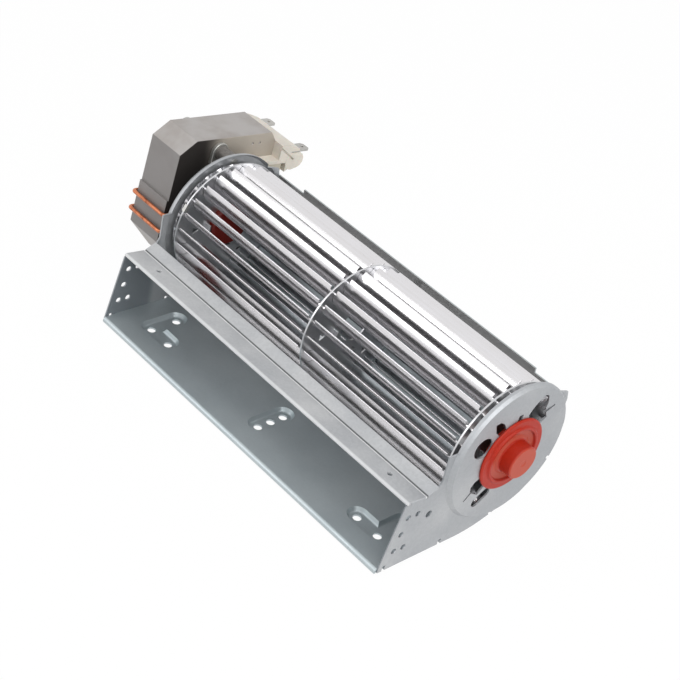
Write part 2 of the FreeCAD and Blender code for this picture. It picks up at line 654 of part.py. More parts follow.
def lamination_stack():
    """The C-shaped stack: closed end, pole block with the rotor's bore, and two arms."""
    body = motor_body("lamination_stack")
    high = size.frame_half_height
    outline = across(body, "lamination")
    step = 0.9
    draw(outline, (-size.frame_closed_reach, 3.6), (-size.frame_closed_reach, high - 6.4),
         (-size.frame_closed_reach + 8.4, high), (core_right - 3.4, high),
         (core_right, high - 4.4), (core_right, arm_inner),
         (size.pole_reach, arm_inner), (size.pole_reach - 2.2, arm_inner - 1.6),
         (size.pole_reach - 2.2, 9.6), (size.pole_reach, 8.0), (size.pole_reach, -arm_inner),
         (core_right, -arm_inner), (core_right, -high + 4.4),
         (core_right - 3.4, -high), (-size.frame_closed_reach + 14.0, -high),
         (-size.frame_closed_reach - step, -high + 15.4), (-size.frame_closed_reach - step, 3.6))
    draw_circle(outline, (0, 0), "Sizes.bore_radius")
    pad(body, outline, "Sizes.stack_thick", back=True)
    holes = across(body, "stack_holes")
    for up in (-1, 1):
        draw_circle(holes, (0, up * screw_reach), "Sizes.screw_radius + Sizes.slot_clearance")
    for out, up in shading_slots():
        draw_circle(holes, (out, up), "Sizes.ring_wire_radius + Sizes.slot_clearance")
    pocket(body, holes)


def shading_slots():
    """Where the shading rings pass through the stack: two by the closed end, two by the coil."""
    return [(-15.9, -2.8), (-15.9, -11.4), (11.2, 12.2), (11.2, 18.4)]


def shading_rings(label, slots, outside):
    """Two closed copper loops through the stack and over its outside face, on one node."""
    wire = size.ring_wire_radius
    bend = size.ring_corner_radius
    loops = []
    for slot, up in slots:
        near, far = sorted((slot, outside))
        front, back = wire + 0.1, -size.stack_thick - wire - 0.1
        diagonal = bend * (1 - math.sqrt(0.5))
        corners = [(front, near, -1, 1), (front, far, -1, -1), (back, far, 1, -1), (back, near, 1, 1)]
        edges = []
        ends = []
        for along, out, inward_x, inward_y in corners:
            by_x = FreeCAD.Vector(along + inward_x * bend, out, up)
            by_y = FreeCAD.Vector(along, out + inward_y * bend, up)
            middle = FreeCAD.Vector(along + inward_x * diagonal, out + inward_y * diagonal, up)
            pair = (by_x, by_y) if (inward_x < 0) == (inward_y > 0) else (by_y, by_x)
            edges.append(Part.Arc(pair[0], middle, pair[1]).toShape())
            ends.append(pair)
        for number, pair in enumerate(ends):
            following = ends[(number + 1) % len(ends)]
            edges.append(Part.makeLine(pair[1], following[0]))
        path = Part.Wire(Part.__sortEdges__(edges))
        start = path.OrderedEdges[0].Vertexes[0].Point
        heading = path.OrderedEdges[0].tangentAt(path.OrderedEdges[0].FirstParameter)
        circle = Part.Wire(Part.makeCircle(wire, start, heading))
        loops.append(path.makePipeShell([circle], True, False))
    rings = document.addObject("Part::Feature", label)
    rings.Label = label
    rings.Shape = Part.Compound(loops)
    rings.Placement = motor_placement(stack_front)
    PARTS.append(rings)


def motor_placement(along):
    place = FreeCAD.Vector(along, size.axis_back, axis_height)
    return FreeCAD.Placement(place, FreeCAD.Rotation(X_AXIS, -size.motor_tilt))


def coil_assembly():
    """Core bar, bobbin with its terminal block, and the winding, round the stack's open end."""
    half_stack = size.stack_thick / 2
    gap = size.seat_clearance
    bar = motor_body("core_bar", stack_middle)
    section = across(bar, "bar_section")
    draw_box(section, (core_left, -arm_inner + gap), (core_right, arm_inner - gap))
    pad(bar, section, "Sizes.stack_thick", both=True)

    wall = size.tube_wall
    tube_x, left, right = half_stack + wall, core_left - wall, core_right + wall
    coil = size.coil_build
    limit = arm_inner - size.coil_end_gap
    bobbin = motor_body("coil_bobbin", stack_middle)
    tube = new_sketch(bobbin, "XY_Plane", "tube_section", -limit)
    draw_box(tube, (-tube_x, left), (tube_x, right))
    pad(bobbin, tube, "2 * (Sizes.frame_half_height - Sizes.arm_height - Sizes.coil_end_gap)")
    for name, low in (("low_flange", -limit), ("high_flange", limit - size.bobbin_flange_thick)):
        flange = new_sketch(bobbin, "XY_Plane", name, low)
        draw_box(flange, (-tube_x - coil, left - coil), (tube_x + coil, right + coil))
        pad(bobbin, flange, "Sizes.bobbin_flange_thick")
    block = across(bobbin, "terminal_block")
    face = right + coil
    reach = size.terminal_reach
    draw(block, (core_right + gap * 4, limit - size.bobbin_flange_thick),
         (core_right + gap * 4, block_top), (face - 0.8, block_top),
         (reach, tab_height + 1.4), (reach, tab_height - 6.0),
         (face, limit - size.bobbin_flange_thick - 5.0), (face, limit - size.bobbin_flange_thick))
    pad(bobbin, block, "Sizes.stack_thick + 2 * (Sizes.tube_wall + Sizes.coil_build)", both=True)
    lobe = across(bobbin, "terminal_lobe", tube_x + coil - size.terminal_lobe_length + 0.1)
    draw_slot(lobe, (reach - 3.0, tab_height - 5.2), (reach - 0.5, tab_height - 4.6), 8.4)
    pad(bobbin, lobe, "Sizes.terminal_lobe_length")
    hollow = new_sketch(bobbin, "XY_Plane", "core_hollow")
    draw_box(hollow, (-half_stack - gap, core_left - gap), (half_stack + gap, core_right + gap))
    pocket(bobbin, hollow)
    tabs = across(bobbin, "tab_slots")
    draw_box(tabs, (reach - size.tab_root, tab_height - size.tab_thick / 2 - gap),
             (reach + 1.0, tab_height + size.tab_thick / 2 + gap))
    pocket(bobbin, tabs, None)

    winding = motor_body("coil_winding", stack_middle)
    wound = new_sketch(winding, "XY_Plane", "winding_section", -limit + size.bobbin_flange_thick + gap)
    out_x, out_left, out_right = tube_x + coil - 0.6, left - coil + 0.6, right + coil - 0.6
    soft = 3.0
    nip = soft * (1 - math.sqrt(0.5))
    draw(wound, (-out_x + soft, out_left), (out_x - soft, out_left),
         ((out_x - nip, out_left + nip), (out_x, out_left + soft)), (out_x, out_right - soft),
         ((out_x - nip, out_right - nip), (out_x - soft, out_right)), (-out_x + soft, out_right),
         ((-out_x + nip, out_right - nip), (-out_x, out_right - soft)), (-out_x, out_left + soft),
         ((-out_x + nip, out_left + nip), (-out_x + soft, out_left)))
    draw_box(wound, (-tube_x - gap, left - gap), (tube_x + gap, right + gap))
    pad(winding, wound, "2 * (Sizes.frame_half_height - Sizes.arm_height - Sizes.coil_end_gap"
        " - Sizes.bobbin_flange_thick - Sizes.seat_clearance)")

    for label, side in (("terminal_tab_front", 1), ("terminal_tab_rear", -1)):
        tab = motor_body(label, stack_middle + side * size.tab_spacing / 2)
        blank = new_sketch(tab, "XY_Plane", label + "_blank", tab_height - size.tab_thick / 2)
        half = size.tab_width / 2
        start, end = reach - size.tab_root + gap, reach + size.tab_length
        draw(blank, (-half, start), (half, start), (half, end - 1.2), (half - 1.2, end),
             (-half + 1.2, end), (-half, end - 1.2))
        draw_circle(blank, (0, end - 2.6), "Sizes.tab_hole_radius")
        pad(tab, blank, "Sizes.tab_thick")


def bearing_bracket(label, side, along):
    """A pressed bracket over one face of the stack, with a hub that holds a bush."""
    body = motor_body(label, along)
    thick, rise = size.bracket_thick, size.bracket_rise
    half = size.bracket_width / 2
    long_end = screw_reach + half
    section = lengthwise(body, label + "_section")
    path = [(0, long_end), (0, arm_inner + 0.6), (side * rise, arm_inner - 3.4),
            (side * rise, -arm_inner + 3.4), (0, -arm_inner - 0.6), (0, -long_end)]
    draw(section, *path, *reversed(offset_path(path, -side * thick)))
    pad(body, section, "Sizes.bracket_width", both=True)
    hub = across(body, label + "_hub", side * (rise - thick / 2))
    draw_circle(hub, (0, 0), "Sizes.bracket_hub_radius")
    pad(body, hub, "Sizes.bracket_hub_length", back=side < 0)
    holes = across(body, label + "_holes")
    draw_circle(holes, (0, 0), "Sizes.motor_bush_radius + Sizes.seat_clearance")
    for up in (-1, 1):
        draw_circle(holes, (0, up * screw_reach), "Sizes.screw_radius + Sizes.slot_clearance")
        past = up * (screw_reach + size.bracket_width)
        draw(holes, (half, up * screw_reach), ((0, up * long_end), (-half, up * screw_reach)),
             (-2 * half, up * screw_reach), (-2 * half, past), (2 * half, past), (2 * half, up * screw_reach))
    pocket(body, holes)


def spacers_and_screws():
    """Two tubes between the front bracket and the end plate, and the two long screws."""
    for up, name in ((1, "upper"), (-1, "lower")):
        tube = motor_body(f"motor_spacer_{name}", stack_front + size.bracket_thick)
        ring = across(tube, f"spacer_{name}_section")
        draw_circle(ring, (0, up * screw_reach), "Sizes.spacer_radius")
        draw_circle(ring, (0, up * screw_reach), "Sizes.screw_radius + Sizes.slot_clearance")
        pad(tube, ring, "Sizes.spacer_length")
        screw = motor_body(f"motor_screw_{name}", stack_back - size.bracket_thick)
        shank = across(screw, f"screw_{name}_shank")
        draw_circle(shank, (0, up * screw_reach), "Sizes.screw_radius")
        pad(screw, shank, "Sizes.stack_thick + 2 * Sizes.bracket_thick + Sizes.spacer_length"
            " + Sizes.sheet_thick + Sizes.slot_clearance")
        head = across(screw, f"screw_{name}_head")
        draw_circle(head, (0, up * screw_reach), "Sizes.screw_head_radius")
        pad(screw, head, "Sizes.screw_head_height", back=True)
        cross = across(screw, f"screw_{name}_recess", -size.screw_head_height)
        centre = up * screw_reach
        draw(cross, (-2.2, centre - 0.5), (-0.5, centre - 0.5), (-0.5, centre - 2.2), (0.5, centre - 2.2),
             (0.5, centre - 0.5), (2.2, centre - 0.5), (2.2, centre + 0.5), (0.5, centre + 0.5),
             (0.5, centre + 2.2), (-0.5, centre + 2.2), (-0.5, centre + 0.5), (-2.2, centre + 0.5))
        pocket(screw, cross, "Sizes.screw_head_height * 0.6", back=True)


def motor_rotor():
    """Laminated core with its cast cage, the shaft, and two thrust washers."""
    radius = size.bore_radius - size.air_gap
    shaft = size.shaft_radius + size.seat_clearance
    bar_outer = radius - 0.6
    bar_inner = bar_outer - size.cage_bar_depth
    half_bar = size.cage_bar_width / 2
    core = motor_body("rotor_core", stack_middle)
    disc = across(core, "core_section")
    disc.addGeometry(Part.Circle(point((0, 0)), FreeCAD.Vector(0, 0, 1), radius))
    disc.addGeometry(Part.Circle(point((0, 0)), FreeCAD.Vector(0, 0, 1), shaft))
    pad(core, disc, "Sizes.stack_thick", both=True)
    slot = across(core, "core_slot")
    draw_box(slot, (bar_inner, -half_bar), (bar_outer, half_bar))
    repeat(core, pocket(core, slot), "Sizes.cage_bar_count")

    cage = motor_body("rotor_cage", stack_middle)
    for name, side in (("front_ring", 1), ("rear_ring", -1)):
        ring = across(cage, name, side * size.stack_thick / 2)
        ring.addGeometry(Part.Circle(point((0, 0)), FreeCAD.Vector(0, 0, 1), bar_outer))
        inner_radius = bar_outer - size.cage_ring_depth
        ring.addGeometry(Part.Circle(point((0, 0)), FreeCAD.Vector(0, 0, 1), inner_radius))
        if side == 1:
            pad(cage, ring, "Sizes.cage_ring_length")
            bar = across(cage, "cage_bar", -size.stack_thick / 2)
            draw_box(bar, (bar_inner, -half_bar), (bar_outer, half_bar))
            repeat(cage, pad(cage, bar, "Sizes.stack_thick"), "Sizes.cage_bar_count")
        else:
            pad(cage, ring, "Sizes.cage_ring_length", back=True)

    rear = stack_back - size.bracket_rise - size.bracket_hub_length - size.shaft_tail
    front = -half_rotor + size.shaft_grip
    turned("motor_shaft", rear, (0, 0), (0, size.shaft_radius - 0.4), (0.4, size.shaft_radius),
           (front - rear, size.shaft_radius), (front - rear, 0))
    washer_bore = size.shaft_radius + size.seat_clearance
    hub_face = size.bracket_rise - size.bracket_thick / 2
    for label, along in (("thrust_washer_front", stack_front + hub_face - 0.3 - size.washer_thick),
                         ("thrust_washer_rear", stack_back - hub_face + 0.3)):
        turned(label, along, (0, washer_bore), (0, size.washer_radius),
               (size.washer_thick, size.washer_radius), (size.washer_thick, washer_bore))


casing_wall()
outlet_ledge()
end_plate("end_plate_motor_side", MOTOR_SIDE)
end_plate("end_plate_bearing_side", BEARING_SIDE)

impeller_disc("impeller_disc_motor_side", -half_rotor + size.disc_thick / 2)
impeller_disc("impeller_disc_middle", 0.0)
impeller_disc("impeller_disc_bearing_side", half_rotor - size.disc_thick / 2)
for blade_number in range(int(size.blade_count)):
    blade(blade_number)
balance_clip()
impeller_hubs()

bearing_boot()
bush("journal_bush", half_casing + size.dish_depth - size.boot_inner_thick, size.bush_radius,
     size.bush_length)

lamination_stack()
shading_rings("shading_rings_closed_end", shading_slots()[:2],
              -size.frame_closed_reach - 0.9 - size.ring_wire_radius - size.slot_clearance)
shading_rings("shading_rings_coil_side", shading_slots()[2:],
              size.pole_reach - 2.2 + size.ring_wire_radius + size.slot_clearance)
coil_assembly()
bearing_bracket("bearing_bracket_front", 1, stack_front)
bearing_bracket("bearing_bracket_rear", -1, stack_back)
hub_start = size.bracket_rise - size.bracket_thick / 2
bush("motor_bush_front", stack_front + hub_start, size.motor_bush_radius, size.bracket_hub_length)
bush("motor_bush_rear", stack_back - hub_start - size.bracket_hub_length, size.motor_bush_radius,
     size.bracket_hub_length)
spacers_and_screws()
motor_rotor()

document.recompute()
for item in document.Objects:
    if "Invalid" in item.State or "Error" in item.State:
        raise RuntimeError(f"{item.Name} failed: {item.State}")
for part in PARTS:
    if part.Shape.isNull() or not part.Shape.isValid() or not part.Shape.Solids:
        raise RuntimeError(f"{part.Label} has no valid shape")

os.makedirs("parts", exist_ok=True)
for part in PARTS:
    part.Shape.exportStep(f"parts/{part.Label}.step")
    print(f"{part.Label}: {len(part.Shape.Solids)} solid, {part.Shape.Volume:.0f} mm3")
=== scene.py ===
"""Cross flow fan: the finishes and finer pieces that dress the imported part, and its studio.

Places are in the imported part's own frame, in metres. The impeller's axis runs along X, and the
outlet faces -Y. A place from the axis is how far it is back of it (+Y) and up from it (+Z).
"""

import math

import bmesh
import bpy
from bpy.props import FloatProperty, FloatVectorProperty, PointerProperty
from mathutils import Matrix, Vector


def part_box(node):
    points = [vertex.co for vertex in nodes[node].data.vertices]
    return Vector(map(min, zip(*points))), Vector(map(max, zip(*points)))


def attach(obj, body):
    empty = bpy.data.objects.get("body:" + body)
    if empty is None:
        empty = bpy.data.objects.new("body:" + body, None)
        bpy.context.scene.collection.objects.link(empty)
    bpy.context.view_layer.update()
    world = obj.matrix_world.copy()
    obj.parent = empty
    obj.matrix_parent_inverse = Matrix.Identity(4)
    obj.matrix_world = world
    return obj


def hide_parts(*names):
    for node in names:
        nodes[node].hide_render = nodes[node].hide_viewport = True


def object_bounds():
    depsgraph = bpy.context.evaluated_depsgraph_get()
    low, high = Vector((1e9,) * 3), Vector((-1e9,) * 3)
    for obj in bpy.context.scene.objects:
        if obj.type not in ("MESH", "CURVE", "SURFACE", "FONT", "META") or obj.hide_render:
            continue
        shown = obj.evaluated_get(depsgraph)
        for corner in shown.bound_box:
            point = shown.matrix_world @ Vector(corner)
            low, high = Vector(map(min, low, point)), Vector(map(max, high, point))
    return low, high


bl_info = {
    "name": "Cross flow fan",
    "version": (1, 0, 0),
    "blender": (4, 5, 0),
    "location": "View3D > Sidebar > Fan",
    "description": "Finishes, finer pieces and studio for a cross flow fan",
    "category": "Object",
}

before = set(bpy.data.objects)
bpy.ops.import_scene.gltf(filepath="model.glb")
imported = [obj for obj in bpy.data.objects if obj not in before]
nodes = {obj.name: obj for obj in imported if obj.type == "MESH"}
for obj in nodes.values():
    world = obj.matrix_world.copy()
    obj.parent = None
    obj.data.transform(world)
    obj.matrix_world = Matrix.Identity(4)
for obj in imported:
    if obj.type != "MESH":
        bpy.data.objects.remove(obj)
packed_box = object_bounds()


def middle(node):
    low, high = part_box(node)
    return (low + high) / 2


MM = 0.001
SAME = 1e-5                     # places nearer to each other than this are one place
MERGE = 1e-6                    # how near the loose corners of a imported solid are
FLAT = math.radians(0.4)        # triangles that turn by less than this make one face
FACING = 0.9                    # a face looks a way when its normal has more than this of it
UPRIGHT = 0.1                   # a face is upright when its normal has less than this of Z
ALONG = 0.2                     # a face runs along X when its normal has less than this of X

AXIS = Vector((0, middle("journal_pin").y, middle("journal_pin").z))
MOTOR_TILT = math.radians(-6.5)

# The sunk feet: depth, reach in front and behind, and their holes as (x, y), which are at -x too.
FOOT_DEPTH = 0.002
FOOT_REACH = 0.0175
FOOT_HOLES = ((0.0775, -0.007), (0.0775, 0.007), (0.065, -0.007), (0, -0.007), (0, 0), (0, 0.007))
FOOT_HOLE_EDGE = 0.0024         # what is nearer than this to a hole's middle is on its edge
FOOT_TURN = 20                  # least turn, in degrees, of the edges that are rounded

# The end plates: faces from the fan's middle, least width of a flange, least turn of its fold,
# and the ring, as radii about the axis, and the turn of the bends where they are dished.
PLATE_INNER = 0.0930
PLATE_OUTER = 0.0938
FLANGE_LEAST = 0.004
FOLD_TURN = 50
DISH_RING = (0.0298, 0.0335)
DISH_TURN = (30, 70)

# Small round holes in each end plate beside the outlet, as (y, z), and how they are opened out.
CHEEK_HOLES = ((-0.00702, 0.026), (-0.01212, 0.026), (-0.01385, 0.018), (-0.01047, 0.010),
               (-0.01557, 0.010))
CHEEK_HOLE_EDGE = 0.0011
CHEEK_HOLE_GROWTH = 1.35

# The ledge, from the axis: height of its back edge, the bend, the front edge and the holes.
LEDGE_BACK_UP = -0.0040
LEDGE_BEND = (-0.0427, -0.0066)
LEDGE_FRONT = (-0.0535, -0.0053)
LEDGE_HOLE = (0.0767, -0.0472, -0.006)
PUNCH_LENGTH = 0.006
LEDGE_GAUGE = 0.98              # of the sheet's, so that the strip stays within the solid
HEM_LEAD = 0.0004               # flat stretch before the hem's roll begins
HEM_STEPS = 8

BLADE_COUNT = 24
BLADES = [f"blade_{number:02d}" for number in range(1, BLADE_COUNT + 1)]
BLADE_SLACK = 0.0003            # how far a copied blade may lie from its node
TAB_STEPS = 3
TAB_GROWTH = 1.12               # of a tab's section at each step

# The boot turned about the axis: (along, radius) in millimetres from the plate's inner face.
BOOT_PROFILE = ((8.93, 0), (8.93, 5.93), (0.87, 5.93), (0.87, 15.0), (2.07, 15.0), (2.07, 11.97),
                (2.93, 11.97), (2.93, 17.1), (3.7, 17.1), (4.13, 16.5), (4.13, 13.9), (4.93, 13.5),
                (4.93, 12.4), (3.7, 11.9), (3.5, 9.4), (4.2, 8.5), (4.5, 7.7), (9.9, 7.6),
                (10.33, 7.1), (10.33, 1.6), (10.1, 1.2), (10.1, 0))
BOOT_NOSE = 0.0012              # how far the pale end of the boot's nose reaches back

# On the motor, from the axis: punch marks in the front lamination, and the terminal block's slot.
PUNCH_MARKS = ((0.0236, 0.0262), (0.0280, 0.0256))
SLOT_PLACE = (0.0412, 0.0200)
SLOT_TILT = math.radians(-42)

# The studio. A lamp is its name, place, width, height and power, and looks at the origin. The
# camera's turn is in degrees, and its lens and sensor are in millimetres.
LAMPS = (("strip", (-0.62, -0.85, 0.55), 0.3, 0.7, 2.2),
         ("key", (0.40, -0.10, 1.1), 0.9, 0.9, 5.5),
         ("side", (1.0, -0.3, 0.6), 0.8, 0.8, 5.0))
FLOOR_SIZE = 8.0
FLOOR_DROP = 0.0002             # how far the floor lies under the feet
FLOOR_GLOW = 0.97               # share of the floor that shows as plain white
SURROUNDING_LIGHT = 0.5
WHITE = (1, 1, 1, 1)
CAMERA_PLACE = (0.39342, -0.41708, 0.44889)
CAMERA_TURN = (54.4938, -10.8431, 48.8728)
CAMERA_LENS = 89.523
CAMERA_SENSOR = 36.0


def shade(red, green, blue):
    """A colour from its look on screen, 0 to 255."""
    return tuple(round(((c / 255 + 0.055) / 1.055) ** 2.4, 4) for c in (red, green, blue)) + (1.0,)


def darker(paint, share):
    return tuple(c * share for c in paint[:3]) + (1.0,)


def length(name, description, default):
    return FloatProperty(name=name, description=description, default=default, min=0.0,
                         unit="LENGTH", subtype="DISTANCE", precision=5)


def angle(name, description, degrees):
    return FloatProperty(name=name, description=description, default=math.radians(degrees),
                         unit="ROTATION", subtype="ANGLE")


def colour(name, description, red, green, blue):
    return FloatVectorProperty(name=name, description=description, default=shade(red, green, blue),
                               size=4, min=0.0, max=1.0, subtype="COLOR")


class FanSizes(bpy.types.PropertyGroup):
    """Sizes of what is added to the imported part."""
    sheet: length("Sheet", "Thickness of the casing's sheet", 0.0008)
    cut_edge: length("Cut edge", "How far the sheet's cut edges are broken", 0.00012)
    fold: length("Fold", "Outside radius where an end plate is bent", 0.0009)
    dish_bend: length("Dish bend", "Radius where an end plate is dished", 0.0005)
    foot_slope: length("Foot slope", "How far the wall of a sunk foot leans in", 0.0010)
    foot_rim: length("Foot rim", "Radius where the base bends down into a foot", 0.0012)
    foot_floor: length("Foot floor", "Radius where a foot's wall meets its floor", 0.0006)
    hem: length("Hem", "How far the ledge's hem runs back under it", 0.0024)
    score: length("Score", "Depth of the line scored along the ledge's bend", 0.0004)
    ledge_hole: length("Ledge hole", "Radius of the two holes in the ledge", 0.0012)
    blade_edge: length("Blade edge", "How far a blade's edges are rounded", 0.00012)
    tab_root: length("Tab root", "Length of a blade's tab before its twist begins", 0.0004)
    tab_step: length("Tab step", "Length of each twisted step of a tab", 0.0008)
    tab_lean: length("Tab lean", "How far each step of a tab leans out", 0.0002)
    tab_twist: angle("Tab twist", "How far each step of a tab is twisted", 20)
    stamped_edge: length("Stamped edge", "How far discs and terminals are rounded", 0.0001)
    boot_round: length("Boot rounding", "Radius of the moulded boot's corners", 0.0003)
    stack_edge: length("Stack edge", "How far the stack's outer corners are worn", 0.0003)
    pit: length("Pit", "Radius of the two punch marks on the stack's arm", 0.0007)
    ring_trim: length("Ring trim", "How far the shading rings' wire is drawn in", 0.0003)
    moulded: length("Moulded corner", "Radius of the bobbin's corners", 0.0005)
    slot_length: length("Slot length", "Length of the terminal block's slot", 0.0135)
    slot_width: length("Slot width", "Width of the terminal block's slot", 0.0009)
    slot_depth: length("Slot depth", "Depth of the terminal block's slot", 0.0012)
    bracket_edge: length("Bracket edge", "How far the pressed brackets are rounded", 0.00035)
    screw_edge: length("Screw edge", "How far the screws' heads are rounded", 0.0003)


class FanColours(bpy.types.PropertyGroup):
    """Colours of the finishes."""
    galvanised: colour("Galvanised", "Zinc coat of the sheets", 193, 194, 195)
    galvanised_dark: colour("Zinc shade", "Duller patches of the zinc coat", 172, 174, 177)
    spangle_dark: colour("Dark spangle", "Darkest crystals of the zinc coat", 120, 124, 128)
    spangle_light: colour("Light spangle", "Lightest crystals of the zinc coat", 225, 228, 230)
    rub: colour("Rub marks", "Where the zinc coat is rubbed", 205, 207, 208)
    casing_tint: colour("Casing tint", "Grey-green of the casing's zinc", 180, 194, 198)
    # Painted shade inside the upper scroll, between its back wall and the impeller.
    scroll_shade: colour("Film", "Dark film inside the scroll, by the impeller", 166, 167, 166)
    plate_tint: colour("Plate tint", "Duller zinc of the end plates", 160, 164, 168)
    # Painted shade on the end plates' inner faces beside the outlet.
    painted_duct_shade: colour("Duct shade", "Dull inner faces of the plates by the outlet", 130, 136, 141)
    # Painted highlight along the ledge's rolled hem.
    hem_highlight: colour("Hem", "Bright rolled edge of the ledge", 240, 241, 241)
    # Painted shade in the line scored along the ledge's bend.
    score_shade: colour("Scored line", "Line scored along the ledge's bend", 70, 72, 74)
    # Painted highlight on the edge beside the scored line.
    score_highlight: colour("Beside the line", "Bright edge beside the scored line", 250, 250, 250)
    aluminium: colour("Aluminium", "Polished blade strip", 232, 232, 238)
    aluminium_dull: colour("Rolled aluminium", "Duller lines along the blades", 212, 209, 207)
    disc: colour("Disc", "Stamped impeller discs", 206, 207, 209)
    cast: colour("Cast aluminium", "End rings of the motor's rotor", 170, 171, 172)
    silicone: colour("Silicone", "Red boot", 171, 38, 18)
    # A darker copy of the boot's red: painted shade on the coupling inside the impeller.
    silicone_shaded: colour("Coupling", "Red of the coupling on the motor's shaft", 98, 22, 16)
    # Paler red: partly a painted highlight on the end of the boot's nose, and paler thin silicone
    # on its web.
    silicone_pale: colour("Thin silicone", "Thin parts of the boot, where it is paler", 178, 78, 58)
    stack: colour("Stack steel", "Bare edges of the stack", 171, 168, 167)
    stack_warm: colour("Stack tint", "Brown tint of the stack's oxide", 152, 146, 142)
    stack_line: colour("Stack lines", "Brighter edges of single laminations", 196, 190, 184)
    # Painted shade on the stack's closed end.
    stack_end_shade: colour("Stack end", "Duller varnish on the stack's closed end", 129, 126, 125)
    oxide: colour("Oxide", "Brown film on the front lamination", 182, 174, 163)
    # Painted shade on the stack's front face, towards the closed end and round the bore.
    bore_shade: colour("Dark oxide", "Oil and oxide round the bore", 52, 48, 46)
    copper: colour("Copper", "Shading rings", 206, 128, 92)
    copper_dull: colour("Copper tarnish", "Darker patches on the rings", 150, 88, 62)
    cream: colour("Bobbin", "Cream moulded plastic", 226, 219, 207)
    winding: colour("Winding tape", "Tape round the winding", 206, 198, 178)
    tin: colour("Tinned brass", "Terminal tabs", 188, 186, 182)
    zinc: colour("Zinc plate", "Brackets, screws, clip and hub", 186, 186, 182)
    spacer: colour("Spacer steel", "Dull steel of the motor's spacers", 132, 128, 124)
    ground: colour("Ground steel", "Shaft and journal", 176, 176, 176)
    bronze: colour("Bronze", "Oil-filled bushes", 168, 128, 84)
    fibre: colour("Fibre", "Thrust washers", 70, 58, 50)
    floor: colour("Floor", "Studio floor", 250, 250, 250)


def sizes():
    return bpy.context.scene.fan_sizes


def colours():
    return bpy.context.scene.fan_colours


# Measuring.

def off_axis(place):
    """How far a place is from the impeller's axis."""
    return math.hypot(place.y - AXIS.y, place.z - AXIS.z)


def turn(edge):
    """How far the surface turns at an edge, in degrees, and 0 at an open one."""
    return math.degrees(edge.calc_face_angle(0.0))


def along_x(face):
    """How far a face reaches along X."""
    reach = [v.co.x for v in face.verts]
    return max(reach) - min(reach)


# Selecting and shaping.

def alone(obj):
    """Makes this the only selected object, and the active one."""
    bpy.ops.object.select_all(action="DESELECT")
    obj.select_set(True)
    bpy.context.view_layer.objects.active = obj


def edit(obj):
    alone(obj)
    bpy.ops.object.mode_set(mode="EDIT")
    bpy.ops.mesh.select_mode(type="EDGE")
    bpy.ops.mesh.select_all(action="SELECT")


def leave():
    bpy.ops.object.mode_set(mode="OBJECT")


def pick(obj, kind, test):
    """In edit mode, selects the vertices, edges or faces that pass a test, and counts them."""
    bpy.ops.mesh.select_mode(type={"verts": "VERT", "edges": "EDGE", "faces": "FACE"}[kind])
    bpy.ops.mesh.select_all(action="DESELECT")
    shape = bmesh.from_edit_mesh(obj.data)
    chosen = [item for item in getattr(shape, kind) if test(item)]
    for item in chosen:
        item.select_set(True)
    shape.select_flush_mode()
    bmesh.update_edit_mesh(obj.data)
    return len(chosen)


def draw_out(x=0.0, y=0.0, z=0.0):
    """Extrudes what is selected, by this much along each axis."""
    bpy.ops.mesh.extrude_region_move(TRANSFORM_OT_translate={"value": (x, y, z)})


def round_edges(width, segments=4):
    bpy.ops.mesh.bevel(offset=width, segments=segments, affect="EDGES", clamp_overlap=True)


def merge_all(distance):
    bpy.ops.mesh.select_all(action="SELECT")
    bpy.ops.mesh.remove_doubles(threshold=distance)


def apply_modifier(obj, kind, **settings):
    alone(obj)
    modifier = obj.modifiers.new(kind.title(), kind)
    for key, value in settings.items():
        setattr(modifier, key, value)
    bpy.ops.object.modifier_apply(modifier=modifier.name)


def ease(obj, width, segments=2, least=32.0):
    """Smooths a piece and rounds the edges that turn by this many degrees at least."""
    alone(obj)
    bpy.ops.object.shade_smooth_by_angle(angle=math.radians(least))
    apply_modifier(obj, "BEVEL", width=width, segments=segments, limit_method="ANGLE",
                   angle_limit=math.radians(least))
    apply_modifier(obj, "WEIGHTED_NORMAL", weight=100, keep_sharp=True)


def settle(obj):
    """Puts the object's origin at the frame's, with its place in its mesh."""
    alone(obj)
    bpy.ops.object.transform_apply(location=True, rotation=True, scale=True)


def added(name, primitive, **settings):
    """Adds a primitive with nothing else selected, and names it."""
    bpy.ops.object.select_all(action="DESELECT")
    primitive(**settings)
    obj = bpy.context.active_object
    obj.name = obj.data.name = name
    return obj


def cut(piece, tool):
    """Takes the tool's shape out of a piece, and the tool away."""
    settle(tool)
    apply_modifier(piece, "BOOLEAN", object=tool, operation="DIFFERENCE", solver="EXACT")
    bpy.data.objects.remove(tool)


def whole_copy(node, name):
    """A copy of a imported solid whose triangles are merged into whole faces."""
    alone(nodes[node])
    bpy.ops.object.duplicate()
    copy = bpy.context.active_object
    copy.name = copy.data.name = name
    copy.parent = None
    for key in list(copy.keys()):
        del copy[key]
    alone(copy)
    bpy.ops.mesh.customdata_custom_splitnormals_clear()
    edit(copy)
    bpy.ops.mesh.remove_doubles(threshold=MERGE)
    bpy.ops.mesh.dissolve_limited(angle_limit=FLAT)
    leave()
    return copy


def fit(piece, body, material, node):
    """Gives a finished piece its material and its body, and hides the node it stands for."""
    settle(piece)
    piece.data.materials.clear()
    piece.data.materials.append(material)
    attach(piece, body)
    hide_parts(node)


def coat(material, *names):
    """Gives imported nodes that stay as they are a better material."""
    for name in names:
        for slot in nodes[name].material_slots:
            slot.material = material


